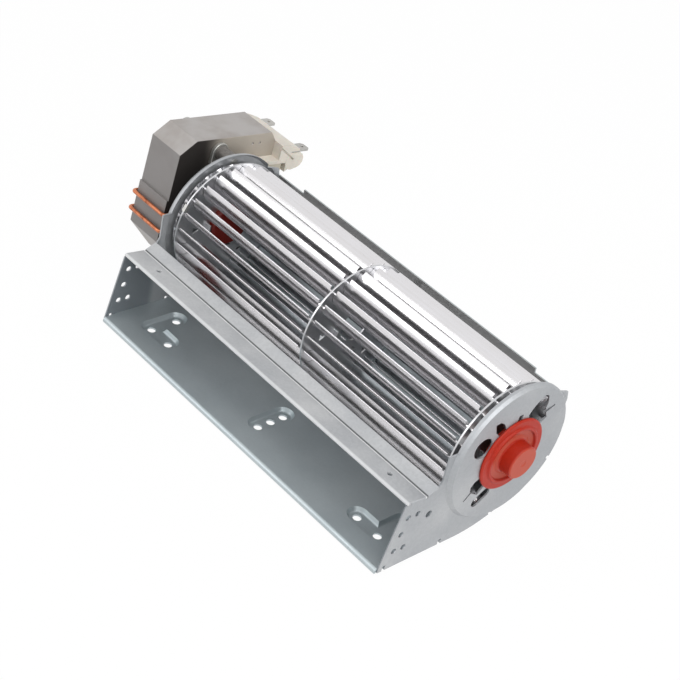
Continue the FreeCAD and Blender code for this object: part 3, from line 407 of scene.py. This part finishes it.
def lathe(name, profile, along, steps=96):
    """A turned piece on the impeller's axis, from (along, radius) corners in millimetres.

    The first and last corners lie on the axis, where the piece is closed.
    """
    first, *rest = profile[1:-1]
    turned = added(name, bpy.ops.mesh.primitive_circle_add, vertices=steps, radius=first[1] * MM,
                   rotation=(0, math.pi / 2, 0), fill_type="TRIFAN",
                   location=(along + first[0] * MM, AXIS.y, AXIS.z))
    settle(turned)
    edit(turned)
    within_rim = first[1] * MM * 0.99
    pick(turned, "verts", lambda v: off_axis(v.co) > within_rim)
    bpy.ops.mesh.select_mode(type="EDGE")
    here = first
    for corner in rest:
        draw_out((corner[0] - here[0]) * MM)
        ratio = corner[1] / here[1]
        bpy.ops.transform.resize(value=(1, ratio, ratio), center_override=(0, AXIS.y, AXIS.z))
        here = corner
    draw_out((profile[-1][0] - here[0]) * MM)
    bpy.ops.mesh.merge(type="CENTER")
    merge_all(MERGE)
    bpy.ops.mesh.normals_make_consistent(inside=False)
    leave()
    return turned


def folded_strip(name, low, high, path, thick):
    """A strip of sheet along X, extruded edge by edge along (y, z) corners, then thickened."""
    first, second, *rest = path
    run = second - first
    strip = added(name, bpy.ops.mesh.primitive_plane_add, size=1,
                  location=((low + high) / 2, *((first + second) / 2)),
                  rotation=(math.atan2(run.y, run.x), 0, 0))
    strip.scale = (high - low, run.length, 1)
    settle(strip)
    edit(strip)
    near = run.length * 0.01
    pick(strip, "edges", lambda e: all((v.co.yz - second).length < near for v in e.verts))
    here = second
    for corner in rest:
        draw_out(0.0, *(corner - here))
        here = corner
    bpy.ops.mesh.select_all(action="SELECT")
    bpy.ops.mesh.normals_make_consistent(inside=False)
    leave()
    if strip.data.polygons[0].normal.z < 0:
        edit(strip)
        bpy.ops.mesh.flip_normals()
        leave()
    apply_modifier(strip, "SOLIDIFY", thickness=thick, offset=-1.0, use_even_offset=True)
    return strip


# Finishes.

class Value:
    """A number that varies over a surface. Arithmetic on it adds Math nodes."""

    def __init__(self, owner, socket):
        self.owner = owner
        self.socket = socket

    def math(self, operation, first, second):
        node = self.owner.node("ShaderNodeMath", {"operation": operation}, {0: first, 1: second})
        return Value(self.owner, node.outputs[0])

    def __add__(self, other):
        return self.math("ADD", self, other)

    __radd__ = __add__

    def __sub__(self, other):
        return self.math("SUBTRACT", self, other)

    def __rsub__(self, other):
        return self.math("SUBTRACT", other, self)

    def __mul__(self, other):
        return self.math("MULTIPLY", self, other)

    __rmul__ = __mul__

    def __pow__(self, other):
        return self.math("POWER", self, other)

    def most(self, other):
        return self.math("MAXIMUM", self, other)


class Nodes:
    """The nodes of one material or of the surroundings."""

    def __init__(self, owner):
        owner.use_nodes = True
        self.tree = owner.node_tree
        self.tree.nodes.clear()

    def node(self, kind, settings=None, inputs=None):
        """Adds any node: its settings first, then the values or links of its sockets."""
        node = self.tree.nodes.new(kind)
        for key, value in (settings or {}).items():
            setattr(node, key, value)
        for key, value in (inputs or {}).items():
            self.feed(node.inputs[key], value)
        return node

    def feed(self, socket, value):
        if isinstance(value, Value):
            value = value.socket
        if isinstance(value, bpy.types.NodeSocket):
            self.tree.links.new(value, socket)
        else:
            socket.default_value = value

    def mixed(self, factor, first, second):
        """Two shaders mixed: the factor is the share of the second."""
        return self.node("ShaderNodeMixShader", {}, {0: factor, 1: first, 2: second}).outputs[0]

    def seen(self):
        """1 for what the camera sees, also in metal or through glass, and 0 for other light."""
        rays = self.node("ShaderNodeLightPath").outputs
        camera, gloss, glass = (Value(self, rays[f"Is {kind} Ray"])
                                for kind in ("Camera", "Glossy", "Transmission"))
        return camera.most(gloss).most(glass)


def socket_name(key):
    return key.replace("_", " ").title().replace("Ior", "IOR")


class Finish(Nodes):
    """One material: a principled shader and the nodes that vary it."""

    def __init__(self, name, **fixed):
        self.material = bpy.data.materials.new(name)
        super().__init__(self.material)
        self.shader = self.node("ShaderNodeBsdfPrincipled", {},
                                {socket_name(key): value for key, value in fixed.items()})
        self.output = self.node("ShaderNodeOutputMaterial", {}, {"Surface": self.shader.outputs[0]})
        self.place = self.node("ShaderNodeTexCoord").outputs["Object"]

    def set(self, **varying):
        """Links what varies to the shader, and gives the material."""
        for key, value in varying.items():
            self.feed(self.shader.inputs[socket_name(key)], value)
        return self.material

    def from_axis(self):
        """How far along the impeller's axis a place is, how far back of it and how far up."""
        offset = self.node("ShaderNodeVectorMath", {"operation": "SUBTRACT"},
                           {0: self.place, 1: AXIS})
        parts = self.node("ShaderNodeSeparateXYZ", {}, {0: offset.outputs[0]})
        return [Value(self, socket) for socket in parts.outputs]

    def mapped(self, scale, rotation=(0, 0, 0)):
        """Places turned and scaled, for a pattern that runs one way."""
        node = self.node("ShaderNodeMapping", {}, {"Vector": self.place, "Scale": scale,
                                                  "Rotation": rotation})
        return node.outputs[0]

    def noise(self, scale, detail=3.0, roughness=0.5, vector=None, distortion=0.0):
        """Cloudy noise: a larger scale is finer, and detail and roughness make it crisper."""
        node = self.node("ShaderNodeTexNoise", {}, {
            "Vector": vector or self.place, "Scale": scale, "Detail": detail,
            "Roughness": roughness, "Distortion": distortion})
        return Value(self, node.outputs[0])

    def cells(self, scale):
        """A number of its own for each small cell, as in spangle."""
        node = self.node("ShaderNodeTexVoronoi", {"feature": "F1"}, {"Vector": self.place,
                                                                    "Scale": scale})
        parts = self.node("ShaderNodeSeparateColor", {}, {0: node.outputs["Color"]})
        return Value(self, parts.outputs[0])

    def window(self, value, none, full):
        """0 at none and beyond, 1 at full and beyond, smooth between; full may be the lower."""
        node = self.node("ShaderNodeMapRange", {"interpolation_type": "SMOOTHSTEP"},
                         {"Value": value, "From Min": none, "From Max": full})
        return Value(self, node.outputs[0])

    def blend(self, share, first, second):
        """The first colour with a share of the second over it."""
        node = self.node("ShaderNodeMix", {"data_type": "RGBA"},
                         {0: share, 6: plain(first), 7: plain(second)})
        return node.outputs[2]

    def bump(self, height, distance, strength):
        """Relief as deep as distance where the height is 1."""
        node = self.node("ShaderNodeBump", {}, {"Height": height, "Distance": distance,
                                                "Strength": strength})
        return node.outputs[0]


def plain(value):
    """A colour as a socket takes it: a link as it is, a property as plain numbers."""
    return value if isinstance(value, bpy.types.NodeSocket) else tuple(value)


def galvanised(name, metallic, roughness, dress):
    """Zinc-coated sheet: soft dull patches, a fine frosted spangle, and a few rub marks.

    dress adds to the colour each sheet's own tint, and its painted shade and highlights.
    """
    look = Finish(name, metallic=metallic)
    paint = colours()
    patches = look.noise(28, 3, 0.55)
    spangle = look.cells(1100)
    frost = look.noise(2600, 2, 0.6)
    streaks = look.noise(240, 5, 0.7, look.mapped(scale=(0.12, 1, 1)))
    rubs = look.window(streaks, 0.62, 0.74)
    crystals = look.blend(spangle, paint.spangle_dark, paint.spangle_light)
    base = look.blend(look.window(patches, 0.35, 0.7), paint.galvanised_dark, paint.galvanised)
    base = look.blend(0.07, base, crystals)
    base = look.blend(0.25 * rubs, base, paint.rub)
    base = dress(look, base)
    rough = roughness + 0.10 * frost + 0.08 * patches - 0.06 * rubs
    bump = look.bump(0.6 * frost + 0.4 * spangle, 0.00003, 0.5)
    return look.set(base_color=base, roughness=rough, normal=bump)


def casing_tint_and_scroll_shade(look, base):
    """Grey-green zinc, with painted shade inside the upper scroll, beside the impeller."""
    _, back, up = look.from_axis()
    base = look.blend(0.6, base, colours().casing_tint)
    # Painted shade on the upper inner face of the scroll's back wall.
    inside = look.window(back, 0.0312, 0.0309) * look.window(back, 0.018, 0.026)
    upper = look.window(up, -0.012, 0.0)
    return look.blend(inside * upper, base, colours().scroll_shade)


def plate_shade(look, base):
    """Duller zinc, with painted shade on the plates' inner faces beside the outlet."""
    along, back, _ = look.from_axis()
    base = look.blend(0.3, base, colours().plate_tint)
    # Painted shade on the inner faces of both plates, beside the outlet.
    reach = (along ** 2) ** 0.5
    inner = (look.window(reach, PLATE_OUTER - 0.0002, PLATE_OUTER - 0.0004)
             * look.window(reach, 0.08, 0.09))
    duct = look.window(back, -0.034, -0.038)
    return look.blend(0.85 * inner * duct, base, colours().painted_duct_shade)


def ledge_painted_light(look, base):
    """A painted highlight on the hem, and painted shade in the line scored along the bend, with a
    painted highlight beside it.
    """
    _, back, _ = look.from_axis()
    # Painted highlight along the hem.
    hem = look.window(back, -0.0522, -0.0528)
    base = look.blend(0.4 * hem, base, colours().hem_highlight)
    # Painted shade in the scored line, and a painted highlight beside it.
    bend = back - LEDGE_BEND[0]
    line = look.window(bend, 0.0001, 0.0003) * look.window(bend, 0.0008, 0.0006)
    base = look.blend(0.85 * line, base, colours().score_shade)
    beside = look.window(bend, -0.0007, -0.0005) * look.window(bend, 0.0002, 0.0)
    return look.blend(0.6 * beside, base, colours().score_highlight)


def bright_blade():
    """Bright rolled aluminium strip: faint lines along the blade and a little haze."""
    look = Finish("blade_aluminium", metallic=1.0)
    lines = look.noise(1.0, 2, 0.6, look.mapped(scale=(5, 900, 900)))
    haze = look.noise(60, 3, 0.6)
    base = look.blend(0.6 * lines + 0.3 * haze, colours().aluminium_dull, colours().aluminium)
    return look.set(base_color=base, roughness=0.19 + 0.05 * lines + 0.05 * haze)


def red_silicone(name, paint, thin=None):
    """Moulded silicone: waxy and a little cloudy; thin gives where it is paler, partly thin
    silicone and partly a painted highlight.
    """
    look = Finish(name, subsurface_weight=0.06, subsurface_scale=0.0015, specular_ior_level=0.25)
    cloud = look.noise(420, 3, 0.55)
    base = look.blend(0.25 * cloud, paint, darker(paint, 0.55))
    if thin:
        base = look.blend(thin(look) * (0.65 + 0.3 * cloud), base, colours().silicone_pale)
    return look.set(base_color=base, roughness=0.34 + 0.14 * cloud,
                    normal=look.bump(cloud, 0.00006, 0.25))


def pale_boot_parts(look):
    """Where the boot is paler: the end of its nose, partly a painted highlight, and the thin web
    between its rings.
    """
    along, back, up = look.from_axis()
    out = (back ** 2 + up ** 2) ** 0.5
    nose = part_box("bearing_boot")[1].x - BOOT_NOSE
    # The end of the nose, paler partly as thin silicone and partly as a painted highlight.
    end = look.window(along, nose, nose + BOOT_NOSE / 2) * look.window(out, 0.0078, 0.0068)
    web = look.window(out, 0.0080, 0.0086) * look.window(out, 0.0122, 0.0116)
    return end.most(0.9 * web)


def stack_steel():
    """Lamination edges: fine lines, painted shade on the closed end, and in front oxide and painted
    shade.
    """
    look = Finish("silicon_steel", metallic=0.5)
    paint = colours()
    along, back, up = look.from_axis()
    sheets = look.noise(1.0, 2, 0.7, look.mapped(scale=(1900, 14, 14)))
    drift = look.noise(55, 3, 0.6)
    base = look.blend(look.window(drift, 0.35, 0.75), paint.stack, paint.stack_warm)
    base = look.blend(0.35 * sheets, base, paint.stack_line)
    # Painted shade on the stack's closed end.
    across = back * math.cos(MOTOR_TILT) + up * math.sin(MOTOR_TILT)
    closed_end = look.window(across, -0.02205, -0.02225)
    base = look.blend(0.8 * closed_end, base, paint.stack_end_shade)
    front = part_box("lamination_stack")[1].x
    face = look.window(along, front - 0.0003, front - 0.0001)
    # Painted shade on the front face, darkest towards the closed end, fading into the oxide beyond
    # the bore.
    clear = look.window(back + 0.004 * drift, -0.004, 0.012)
    base = look.blend(face, base, look.blend(clear, paint.bore_shade, paint.oxide))
    return look.set(base_color=base, roughness=0.5 + 0.12 * sheets + 0.08 * drift,
                    normal=look.bump(sheets, 0.00005, 0.6))


def copper():
    """Drawn copper wire with darker, rougher tarnish in patches."""
    look = Finish("copper", metallic=0.85)
    tarnish = look.window(look.noise(260, 4, 0.6), 0.42, 0.68)
    base = look.blend(tarnish, colours().copper, colours().copper_dull)
    return look.set(base_color=base, roughness=0.28 + 0.2 * tarnish,
                    normal=look.bump(look.noise(900), 0.00003, 0.3))


def cream_plastic():
    """Moulded plastic with a fine grain and faint flow marks."""
    look = Finish("cream_plastic", subsurface_weight=0.08, subsurface_scale=0.001)
    cream = colours().cream
    grain = look.noise(1500, 2, 0.6)
    flow = look.noise(70, 4, 0.6, distortion=0.8)
    base = look.blend(look.window(flow, 0.35, 0.7), cream, darker(cream, 0.88))
    return look.set(base_color=base, roughness=0.42 + 0.1 * grain,
                    normal=look.bump(grain, 0.00003, 0.4))


def wound_coil():
    """Fine wire under a wrap of tape: the turns show through as close ridges."""
    look = Finish("wound_coil")
    tape = colours().winding
    upright = look.mapped(scale=(40, 40, 3200), rotation=(-MOTOR_TILT, 0, 0))
    turns = look.noise(1.0, 1, 0.4, upright)
    wrap = look.noise(90, 3, 0.5)
    base = look.blend(0.6 * turns, tape, darker(tape, 0.55))
    base = look.blend(0.4 * wrap, base, darker(tape, 0.8))
    return look.set(base_color=base, roughness=0.38 + 0.15 * turns,
                    normal=look.bump(turns, 0.00012, 0.7))


def plated(name):
    """Plated, cast or ground metal, or fibre, with faint marks from handling."""
    material, metallic, roughness, grain, patina = PLATED[name]
    paint = getattr(colours(), name)
    look = Finish(material, metallic=metallic)
    marks = look.noise(grain, 4, 0.65)
    cloud = look.noise(80, 3, 0.55)
    worn = look.window(0.5 * marks + 0.5 * cloud, 0.35, 0.7)
    base = look.blend(worn, paint, darker(paint, patina))
    return look.set(base_color=base, roughness=roughness + 0.14 * marks,
                    normal=look.bump(marks, 0.00002, 0.4))


# Each colour's material, metallic, roughness, size of its grain, and how dark its patina is.
PLATED = {
    "disc": ("disc_aluminium", 1.0, 0.26, 900.0, 0.9),
    "cast": ("cast_aluminium", 0.8, 0.45, 500.0, 0.8),
    "tin": ("tinned_brass", 0.85, 0.3, 600.0, 0.8),
    "zinc": ("zinc_plated_steel", 0.8, 0.3, 600.0, 0.8),
    "spacer": ("spacer_steel", 0.7, 0.4, 900.0, 0.6),
    "ground": ("ground_steel", 1.0, 0.18, 1600.0, 0.9),
    "bronze": ("sintered_bronze", 0.7, 0.5, 2200.0, 0.7),
    "fibre": ("dark_fibre", 0.0, 0.7, 1800.0, 0.7),
}

MAKERS = {
    "plate": lambda: galvanised("galvanised_sheet", 0.7, 0.40, plate_shade),
    "casing": lambda: galvanised("galvanised_casing", 0.7, 0.34, casing_tint_and_scroll_shade),
    "ledge": lambda: galvanised("galvanised_ledge", 0.2, 0.5, ledge_painted_light),
    "blade": bright_blade,
    # The coupling's darker red is painted shade, for where it sits inside the impeller.
    "coupling": lambda: red_silicone("red_silicone", colours().silicone_shaded),
    "boot": lambda: red_silicone("red_silicone_boot", colours().silicone, pale_boot_parts),
    "stack": stack_steel,
    "copper": copper,
    "cream": cream_plastic,
    "coil": wound_coil,
}

FINISHES = {}


def finish(name):
    """The named finish, made the first time it is asked for."""
    if name not in FINISHES:
        FINISHES[name] = plated(name) if name in PLATED else MAKERS[name]()
    return FINISHES[name]


# Pieces.

class FAN_OT_casing(bpy.types.Operator):
    """Casing sheet with pressed feet, two end plates with real folds, and the hemmed ledge"""
    bl_idname = "fan.casing"
    bl_label = "Casing"

    def execute(self, context):
        self.wall()
        self.plate("end_plate_motor_side", "motor_end_plate")
        self.plate("end_plate_bearing_side", "bearing_end_plate")
        self.ledge()
        return {"FINISHED"}

    def wall(self):
        """The base and scroll, with each foot's wall sloped and its rim and floor rounded."""
        sheet = whole_copy("casing_wall", "casing_sheet")
        thick, rim, floor = sizes().sheet, sizes().foot_rim, sizes().foot_floor

        def in_foot(place, level):
            return abs(place.z - level) < SAME and abs(place.y) < FOOT_REACH

        def by_hole(place):
            return any(math.hypot(abs(place.x) - x, place.y - y) < FOOT_HOLE_EDGE
                       for x, y in FOOT_HOLES)

        edit(sheet)
        for level, facing in ((thick, 1), (0.0, -1)):
            if not pick(sheet, "faces", lambda f: f.normal.z * facing > FACING
                        and all(in_foot(v.co, level) for v in f.verts)):
                raise RuntimeError("no foot floor found")
            bpy.ops.mesh.inset(thickness=sizes().foot_slope, depth=0, use_boundary=True,
                               use_even_offset=True)
            pick(sheet, "verts", lambda v: in_foot(v.co, level) and not by_hole(v.co)
                 and any(abs(f.normal.z) < UPRIGHT for f in v.link_faces))
            bpy.ops.transform.translate(value=(0, 0, FOOT_DEPTH))
        merge_all(SAME)
        for level, width in ((FOOT_DEPTH + thick, rim), (thick, floor),
                             (FOOT_DEPTH, rim), (0.0, floor)):
            if pick(sheet, "edges", lambda e: turn(e) > FOOT_TURN
                    and all(in_foot(v.co, level) and not by_hole(v.co) for v in e.verts)):
                round_edges(width)
        leave()
        ease(sheet, sizes().cut_edge, segments=1)
        fit(sheet, "casing", finish("casing"), "casing_wall")

    def plate(self, node, name):
        """An end plate whose flanges turn in over a fold radius."""
        plate = whole_copy(node, name)

        def is_fold(edge):
            flanged = any(along_x(f) > FLANGE_LEAST and abs(f.normal.x) < ALONG
                          for f in edge.link_faces)
            outside = all(abs(abs(v.co.x) - PLATE_OUTER) <= SAME for v in edge.verts)
            return flanged and outside and turn(edge) > FOLD_TURN

        def is_dish_bend(edge):
            in_ring = all(DISH_RING[0] < off_axis(v.co) < DISH_RING[1] for v in edge.verts)
            return in_ring and DISH_TURN[0] < turn(edge) < DISH_TURN[1]

        edit(plate)
        if pick(plate, "edges", is_fold):
            round_edges(sizes().fold)
        self.open_holes(plate)
        if pick(plate, "edges", is_dish_bend):
            round_edges(sizes().dish_bend, segments=3)
        leave()
        ease(plate, sizes().cut_edge, segments=1)
        fit(plate, "casing", finish("plate"), node)

    def open_holes(self, plate):
        """Opens out the small round holes beside the outlet, each about its own centre."""
        for y, z in CHEEK_HOLES:
            if not pick(plate, "verts",
                        lambda v: math.hypot(v.co.y - y, v.co.z - z) < CHEEK_HOLE_EDGE):
                raise RuntimeError("no hole found beside the outlet")
            bpy.ops.transform.resize(value=(1, CHEEK_HOLE_GROWTH, CHEEK_HOLE_GROWTH),
                                     center_override=(0, y, z))

    def ledge(self):
        """The ledge in one strip: back bend, broad face, and the front edge rolled under."""
        low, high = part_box("outlet_ledge")
        thick, score = sizes().sheet, sizes().score
        back = Vector((high.y, AXIS.z + LEDGE_BACK_UP))
        bend = AXIS.yz + Vector(LEDGE_BEND)
        front = AXIS.yz + Vector(LEDGE_FRONT)
        rise = (back - bend).normalized()
        inward = (bend - front).normalized()
        down = Vector((inward.y, -inward.x))
        start = front + thick * inward
        scored = [bend + 2 * score * rise, bend + score * rise - Vector((0, score))]
        rolled = []
        for step in range(1, HEM_STEPS + 1):
            roll = math.pi * step / HEM_STEPS
            rolled.append(start + thick * (down - math.cos(roll) * down - math.sin(roll) * inward))
        end = rolled[-1] + (sizes().hem - thick) * inward
        path = [back, *scored, bend, start + HEM_LEAD * inward, start, *rolled, end]
        ledge = folded_strip("ledge_strip", low.x, high.x, path, thick * LEDGE_GAUGE)
        ease(ledge, sizes().cut_edge, segments=1)
        along, behind, up = LEDGE_HOLE
        for side in (-1, 1):
            cut(ledge, added("punch", bpy.ops.mesh.primitive_cylinder_add, vertices=32,
                             radius=sizes().ledge_hole, depth=PUNCH_LENGTH,
                             location=AXIS + Vector((side * along, behind, up))))
        fit(ledge, "casing", finish("ledge"), "outlet_ledge")


class FAN_OT_impeller(bpy.types.Operator):
    """Twenty-four bright blades through three stamped discs, with the hubs at each end"""
    bl_idname = "fan.impeller"
    bl_label = "Impeller"

    def execute(self, context):
        first = whole_copy(BLADES[0], "bright_blade_01")
        self.twist_tabs(first)
        ease(first, sizes().blade_edge, least=40)
        pieces = [first]
        for number, node in enumerate(BLADES[1:], start=1):
            alone(first)
            bpy.ops.object.duplicate()
            copy = bpy.context.active_object
            copy.name = copy.data.name = f"bright_blade_{number + 1:02d}"
            edit(copy)
            bpy.ops.transform.rotate(value=-math.radians(360 / BLADE_COUNT) * number,
                                     orient_axis="X", orient_type="GLOBAL", center_override=AXIS)
            leave()
            self.compare(copy, node)
            pieces.append(copy)
        for piece, node in zip(pieces, BLADES):
            fit(piece, "rotor", finish("blade"), node)
        for side in ("motor_side", "middle", "bearing_side"):
            disc = whole_copy(f"impeller_disc_{side}", f"stamped_disc_{side}")
            ease(disc, sizes().stamped_edge, least=40)
            fit(disc, "rotor", finish("disc"), f"impeller_disc_{side}")
        coat(finish("coupling"), "coupling_hub")
        coat(finish("zinc"), "balance_clip", "journal_hub")
        coat(finish("ground"), "journal_pin")
        return {"FINISHED"}

    def twist_tabs(self, blade):
        """Draws out the tab at each end of a blade and twists it, which locks it in its disc."""
        edit(blade)
        for side in (-1, 1):
            reach = max(side * v.co.x for v in blade.data.vertices)
            pick(blade, "faces", lambda f: f.normal.x * side > FACING
                 and side * f.calc_center_median().x > reach - SAME)
            draw_out(side * sizes().tab_root)
            chosen = [v.co.copy() for v in bmesh.from_edit_mesh(blade.data).verts if v.select]
            centre = sum(chosen, Vector()) / len(chosen)
            lean = (centre.yz - AXIS.yz).normalized() * sizes().tab_lean
            for step in range(TAB_STEPS):
                draw_out(side * sizes().tab_step, *lean)
                bpy.ops.transform.rotate(value=sizes().tab_twist, orient_axis="X",
                                         orient_type="GLOBAL", center_override=centre)
                bpy.ops.transform.resize(value=(1, TAB_GROWTH, TAB_GROWTH), center_override=centre)
        leave()

    def compare(self, copy, node):
        """Stops if a copied blade isn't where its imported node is."""
        low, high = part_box(node)
        places = [v.co for v in copy.data.vertices if abs(v.co.x) < high.x + SAME]
        ours = Vector((0, min(p.y for p in places), min(p.z for p in places)))
        if abs(ours.y - low.y) > BLADE_SLACK or abs(ours.z - low.z) > BLADE_SLACK:
            raise RuntimeError(f"{copy.name} is off its node by {ours - low}")


class FAN_OT_boot(bpy.types.Operator):
    """Moulded silicone boot on the bearing end, with its raised ring, groove and nose"""
    bl_idname = "fan.boot"
    bl_label = "Bearing boot"

    def execute(self, context):
        boot = lathe("silicone_boot", BOOT_PROFILE, PLATE_INNER)
        ease(boot, sizes().boot_round, segments=3, least=20)
        fit(boot, "casing", finish("boot"), "bearing_boot")
        coat(finish("bronze"), "journal_bush")
        return {"FINISHED"}


class FAN_OT_motor(bpy.types.Operator):
    """Lamination stack, shading rings and the rotor that turns in its bore"""
    bl_idname = "fan.motor"
    bl_label = "Motor core"

    def execute(self, context):
        stack = whole_copy("lamination_stack", "stack_body")
        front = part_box("lamination_stack")[1].x
        for back, up in PUNCH_MARKS:
            cut(stack, added("pit", bpy.ops.mesh.primitive_uv_sphere_add, segments=24,
                             ring_count=12, radius=sizes().pit,
                             location=AXIS + Vector((front, back, up))))
        ease(stack, sizes().stack_edge, least=25)
        fit(stack, "casing", finish("stack"), "lamination_stack")
        coat(finish("stack"), "core_bar", "rotor_core")
        for end in ("closed_end", "coil_side"):
            rings = whole_copy(f"shading_rings_{end}", f"copper_rings_{end}")
            alone(rings)
            bpy.ops.object.shade_smooth()
            apply_modifier(rings, "DISPLACE", strength=-sizes().ring_trim, mid_level=0.0)
            fit(rings, "casing", finish("copper"), f"shading_rings_{end}")
        coat(finish("cast"), "rotor_cage")
        coat(finish("ground"), "motor_shaft")
        coat(finish("fibre"), "thrust_washer_front", "thrust_washer_rear")
        return {"FINISHED"}


class FAN_OT_coil(bpy.types.Operator):
    """Moulded bobbin and terminal block, winding and tabs"""
    bl_idname = "fan.coil"
    bl_label = "Coil and terminals"

    def execute(self, context):
        bobbin = whole_copy("coil_bobbin", "moulded_bobbin")
        self.groove(bobbin)
        ease(bobbin, sizes().moulded, segments=3, least=40)
        fit(bobbin, "casing", finish("cream"), "coil_bobbin")
        coat(finish("coil"), "coil_winding")
        for side in ("front", "rear"):
            tab = whole_copy(f"terminal_tab_{side}", f"tab_{side}")
            ease(tab, sizes().stamped_edge, least=40)
            fit(tab, "casing", finish("tin"), f"terminal_tab_{side}")
        return {"FINISHED"}

    def groove(self, bobbin):
        """A narrow slot moulded down the terminal block's front face."""
        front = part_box("coil_bobbin")[1].x
        slot = added("slot", bpy.ops.mesh.primitive_cube_add, size=1,
                     location=AXIS + Vector((front, *SLOT_PLACE)), rotation=(SLOT_TILT, 0, 0))
        slot.scale = (2 * sizes().slot_depth, sizes().slot_length, sizes().slot_width)
        cut(bobbin, slot)


class FAN_OT_fixings(bpy.types.Operator):
    """Bearing brackets, bushes, spacers and screws"""
    bl_idname = "fan.fixings"
    bl_label = "Brackets and screws"

    def execute(self, context):
        for side in ("front", "rear"):
            bracket = whole_copy(f"bearing_bracket_{side}", f"pressed_bracket_{side}")
            ease(bracket, sizes().bracket_edge, segments=3, least=30)
            fit(bracket, "casing", finish("zinc"), f"bearing_bracket_{side}")
        coat(finish("bronze"), "motor_bush_front", "motor_bush_rear")
        for place in ("upper", "lower"):
            screw = whole_copy(f"motor_screw_{place}", f"long_screw_{place}")
            ease(screw, sizes().screw_edge, segments=3, least=40)
            fit(screw, "casing", finish("zinc"), f"motor_screw_{place}")
        coat(finish("spacer"), "motor_spacer_upper", "motor_spacer_lower")
        return {"FINISHED"}


class FAN_OT_stage(bpy.types.Operator):
    """Pale floor, soft lamps, even surroundings and the camera"""
    bl_idname = "fan.stage"
    bl_label = "Studio"

    def execute(self, context):
        self.floor()
        self.surroundings()
        for lamp in LAMPS:
            self.lamp(*lamp)
        self.camera()
        bpy.context.scene.view_settings.view_transform = "Standard"
        return {"FINISHED"}

    def floor(self):
        """A pale floor that keeps the object's shadow, and shows as white."""
        lowest = packed_box[0].z
        floor = added("studio_floor", bpy.ops.mesh.primitive_plane_add, size=FLOOR_SIZE,
                      location=(0, 0, lowest - FLOOR_DROP))
        settle(floor)
        look = Finish("studio_floor", roughness=0.9)
        look.set(base_color=colours().floor)
        white = look.node("ShaderNodeEmission", {}, {"Color": WHITE, "Strength": 1.0})
        look.feed(look.output.inputs["Surface"],
                  look.mixed(look.seen() * FLOOR_GLOW, look.shader.outputs[0], white.outputs[0]))
        floor.data.materials.append(look.material)

    def surroundings(self):
        """Even pale light on the object, and a white background wherever it is seen."""
        world = bpy.data.worlds.new("studio")
        bpy.context.scene.world = world
        studio = Nodes(world)
        even, white = (studio.node("ShaderNodeBackground", {}, {"Color": WHITE, "Strength": light})
                       for light in (SURROUNDING_LIGHT, 1.0))
        studio.node("ShaderNodeOutputWorld", {}, {
            "Surface": studio.mixed(studio.seen(), even.outputs[0], white.outputs[0])})

    def lamp(self, name, place, width, height, power):
        data = bpy.data.lights.new(name, "AREA")
        data.shape = "RECTANGLE"
        data.size, data.size_y = width, height
        data.energy = power
        lamp = bpy.data.objects.new(name, data)
        lamp.location = place
        lamp.rotation_euler = (-Vector(place)).to_track_quat("-Z", "Y").to_euler()
        bpy.context.scene.collection.objects.link(lamp)

    def camera(self):
        data = bpy.data.cameras.new("camera")
        data.sensor_width = CAMERA_SENSOR
        data.lens = CAMERA_LENS
        camera = bpy.data.objects.new("camera", data)
        camera.location = CAMERA_PLACE
        camera.rotation_euler = tuple(math.radians(turned) for turned in CAMERA_TURN)
        bpy.context.scene.collection.objects.link(camera)
        bpy.context.scene.camera = camera


OPERATORS = (FAN_OT_stage, FAN_OT_casing, FAN_OT_impeller, FAN_OT_boot, FAN_OT_motor, FAN_OT_coil,
             FAN_OT_fixings)


class FAN_PT_panel(bpy.types.Panel):
    """Lists the fan's pieces, sizes and colours"""
    bl_idname = "FAN_PT_panel"
    bl_label = "Cross flow fan"
    bl_space_type = "VIEW_3D"
    bl_region_type = "UI"
    bl_category = "Fan"

    def draw(self, context):
        for operator in OPERATORS:
            self.layout.operator(operator.bl_idname)
        for group in (context.scene.fan_sizes, context.scene.fan_colours):
            box = self.layout.box()
            for name in group.__annotations__:
                box.prop(group, name)


CLASSES = (FanSizes, FanColours) + OPERATORS + (FAN_PT_panel,)


def register():
    for item in CLASSES:
        bpy.utils.register_class(item)
    bpy.types.Scene.fan_sizes = PointerProperty(type=FanSizes)
    bpy.types.Scene.fan_colours = PointerProperty(type=FanColours)


def unregister():
    del bpy.types.Scene.fan_colours
    del bpy.types.Scene.fan_sizes
    for item in reversed(CLASSES):
        bpy.utils.unregister_class(item)


def main():
    register()
    bpy.ops.fan.stage()
    bpy.ops.fan.casing()
    bpy.ops.fan.impeller()
    bpy.ops.fan.boot()
    bpy.ops.fan.motor()
    bpy.ops.fan.coil()
    bpy.ops.fan.fixings()


if __name__ == "__main__":
    main()
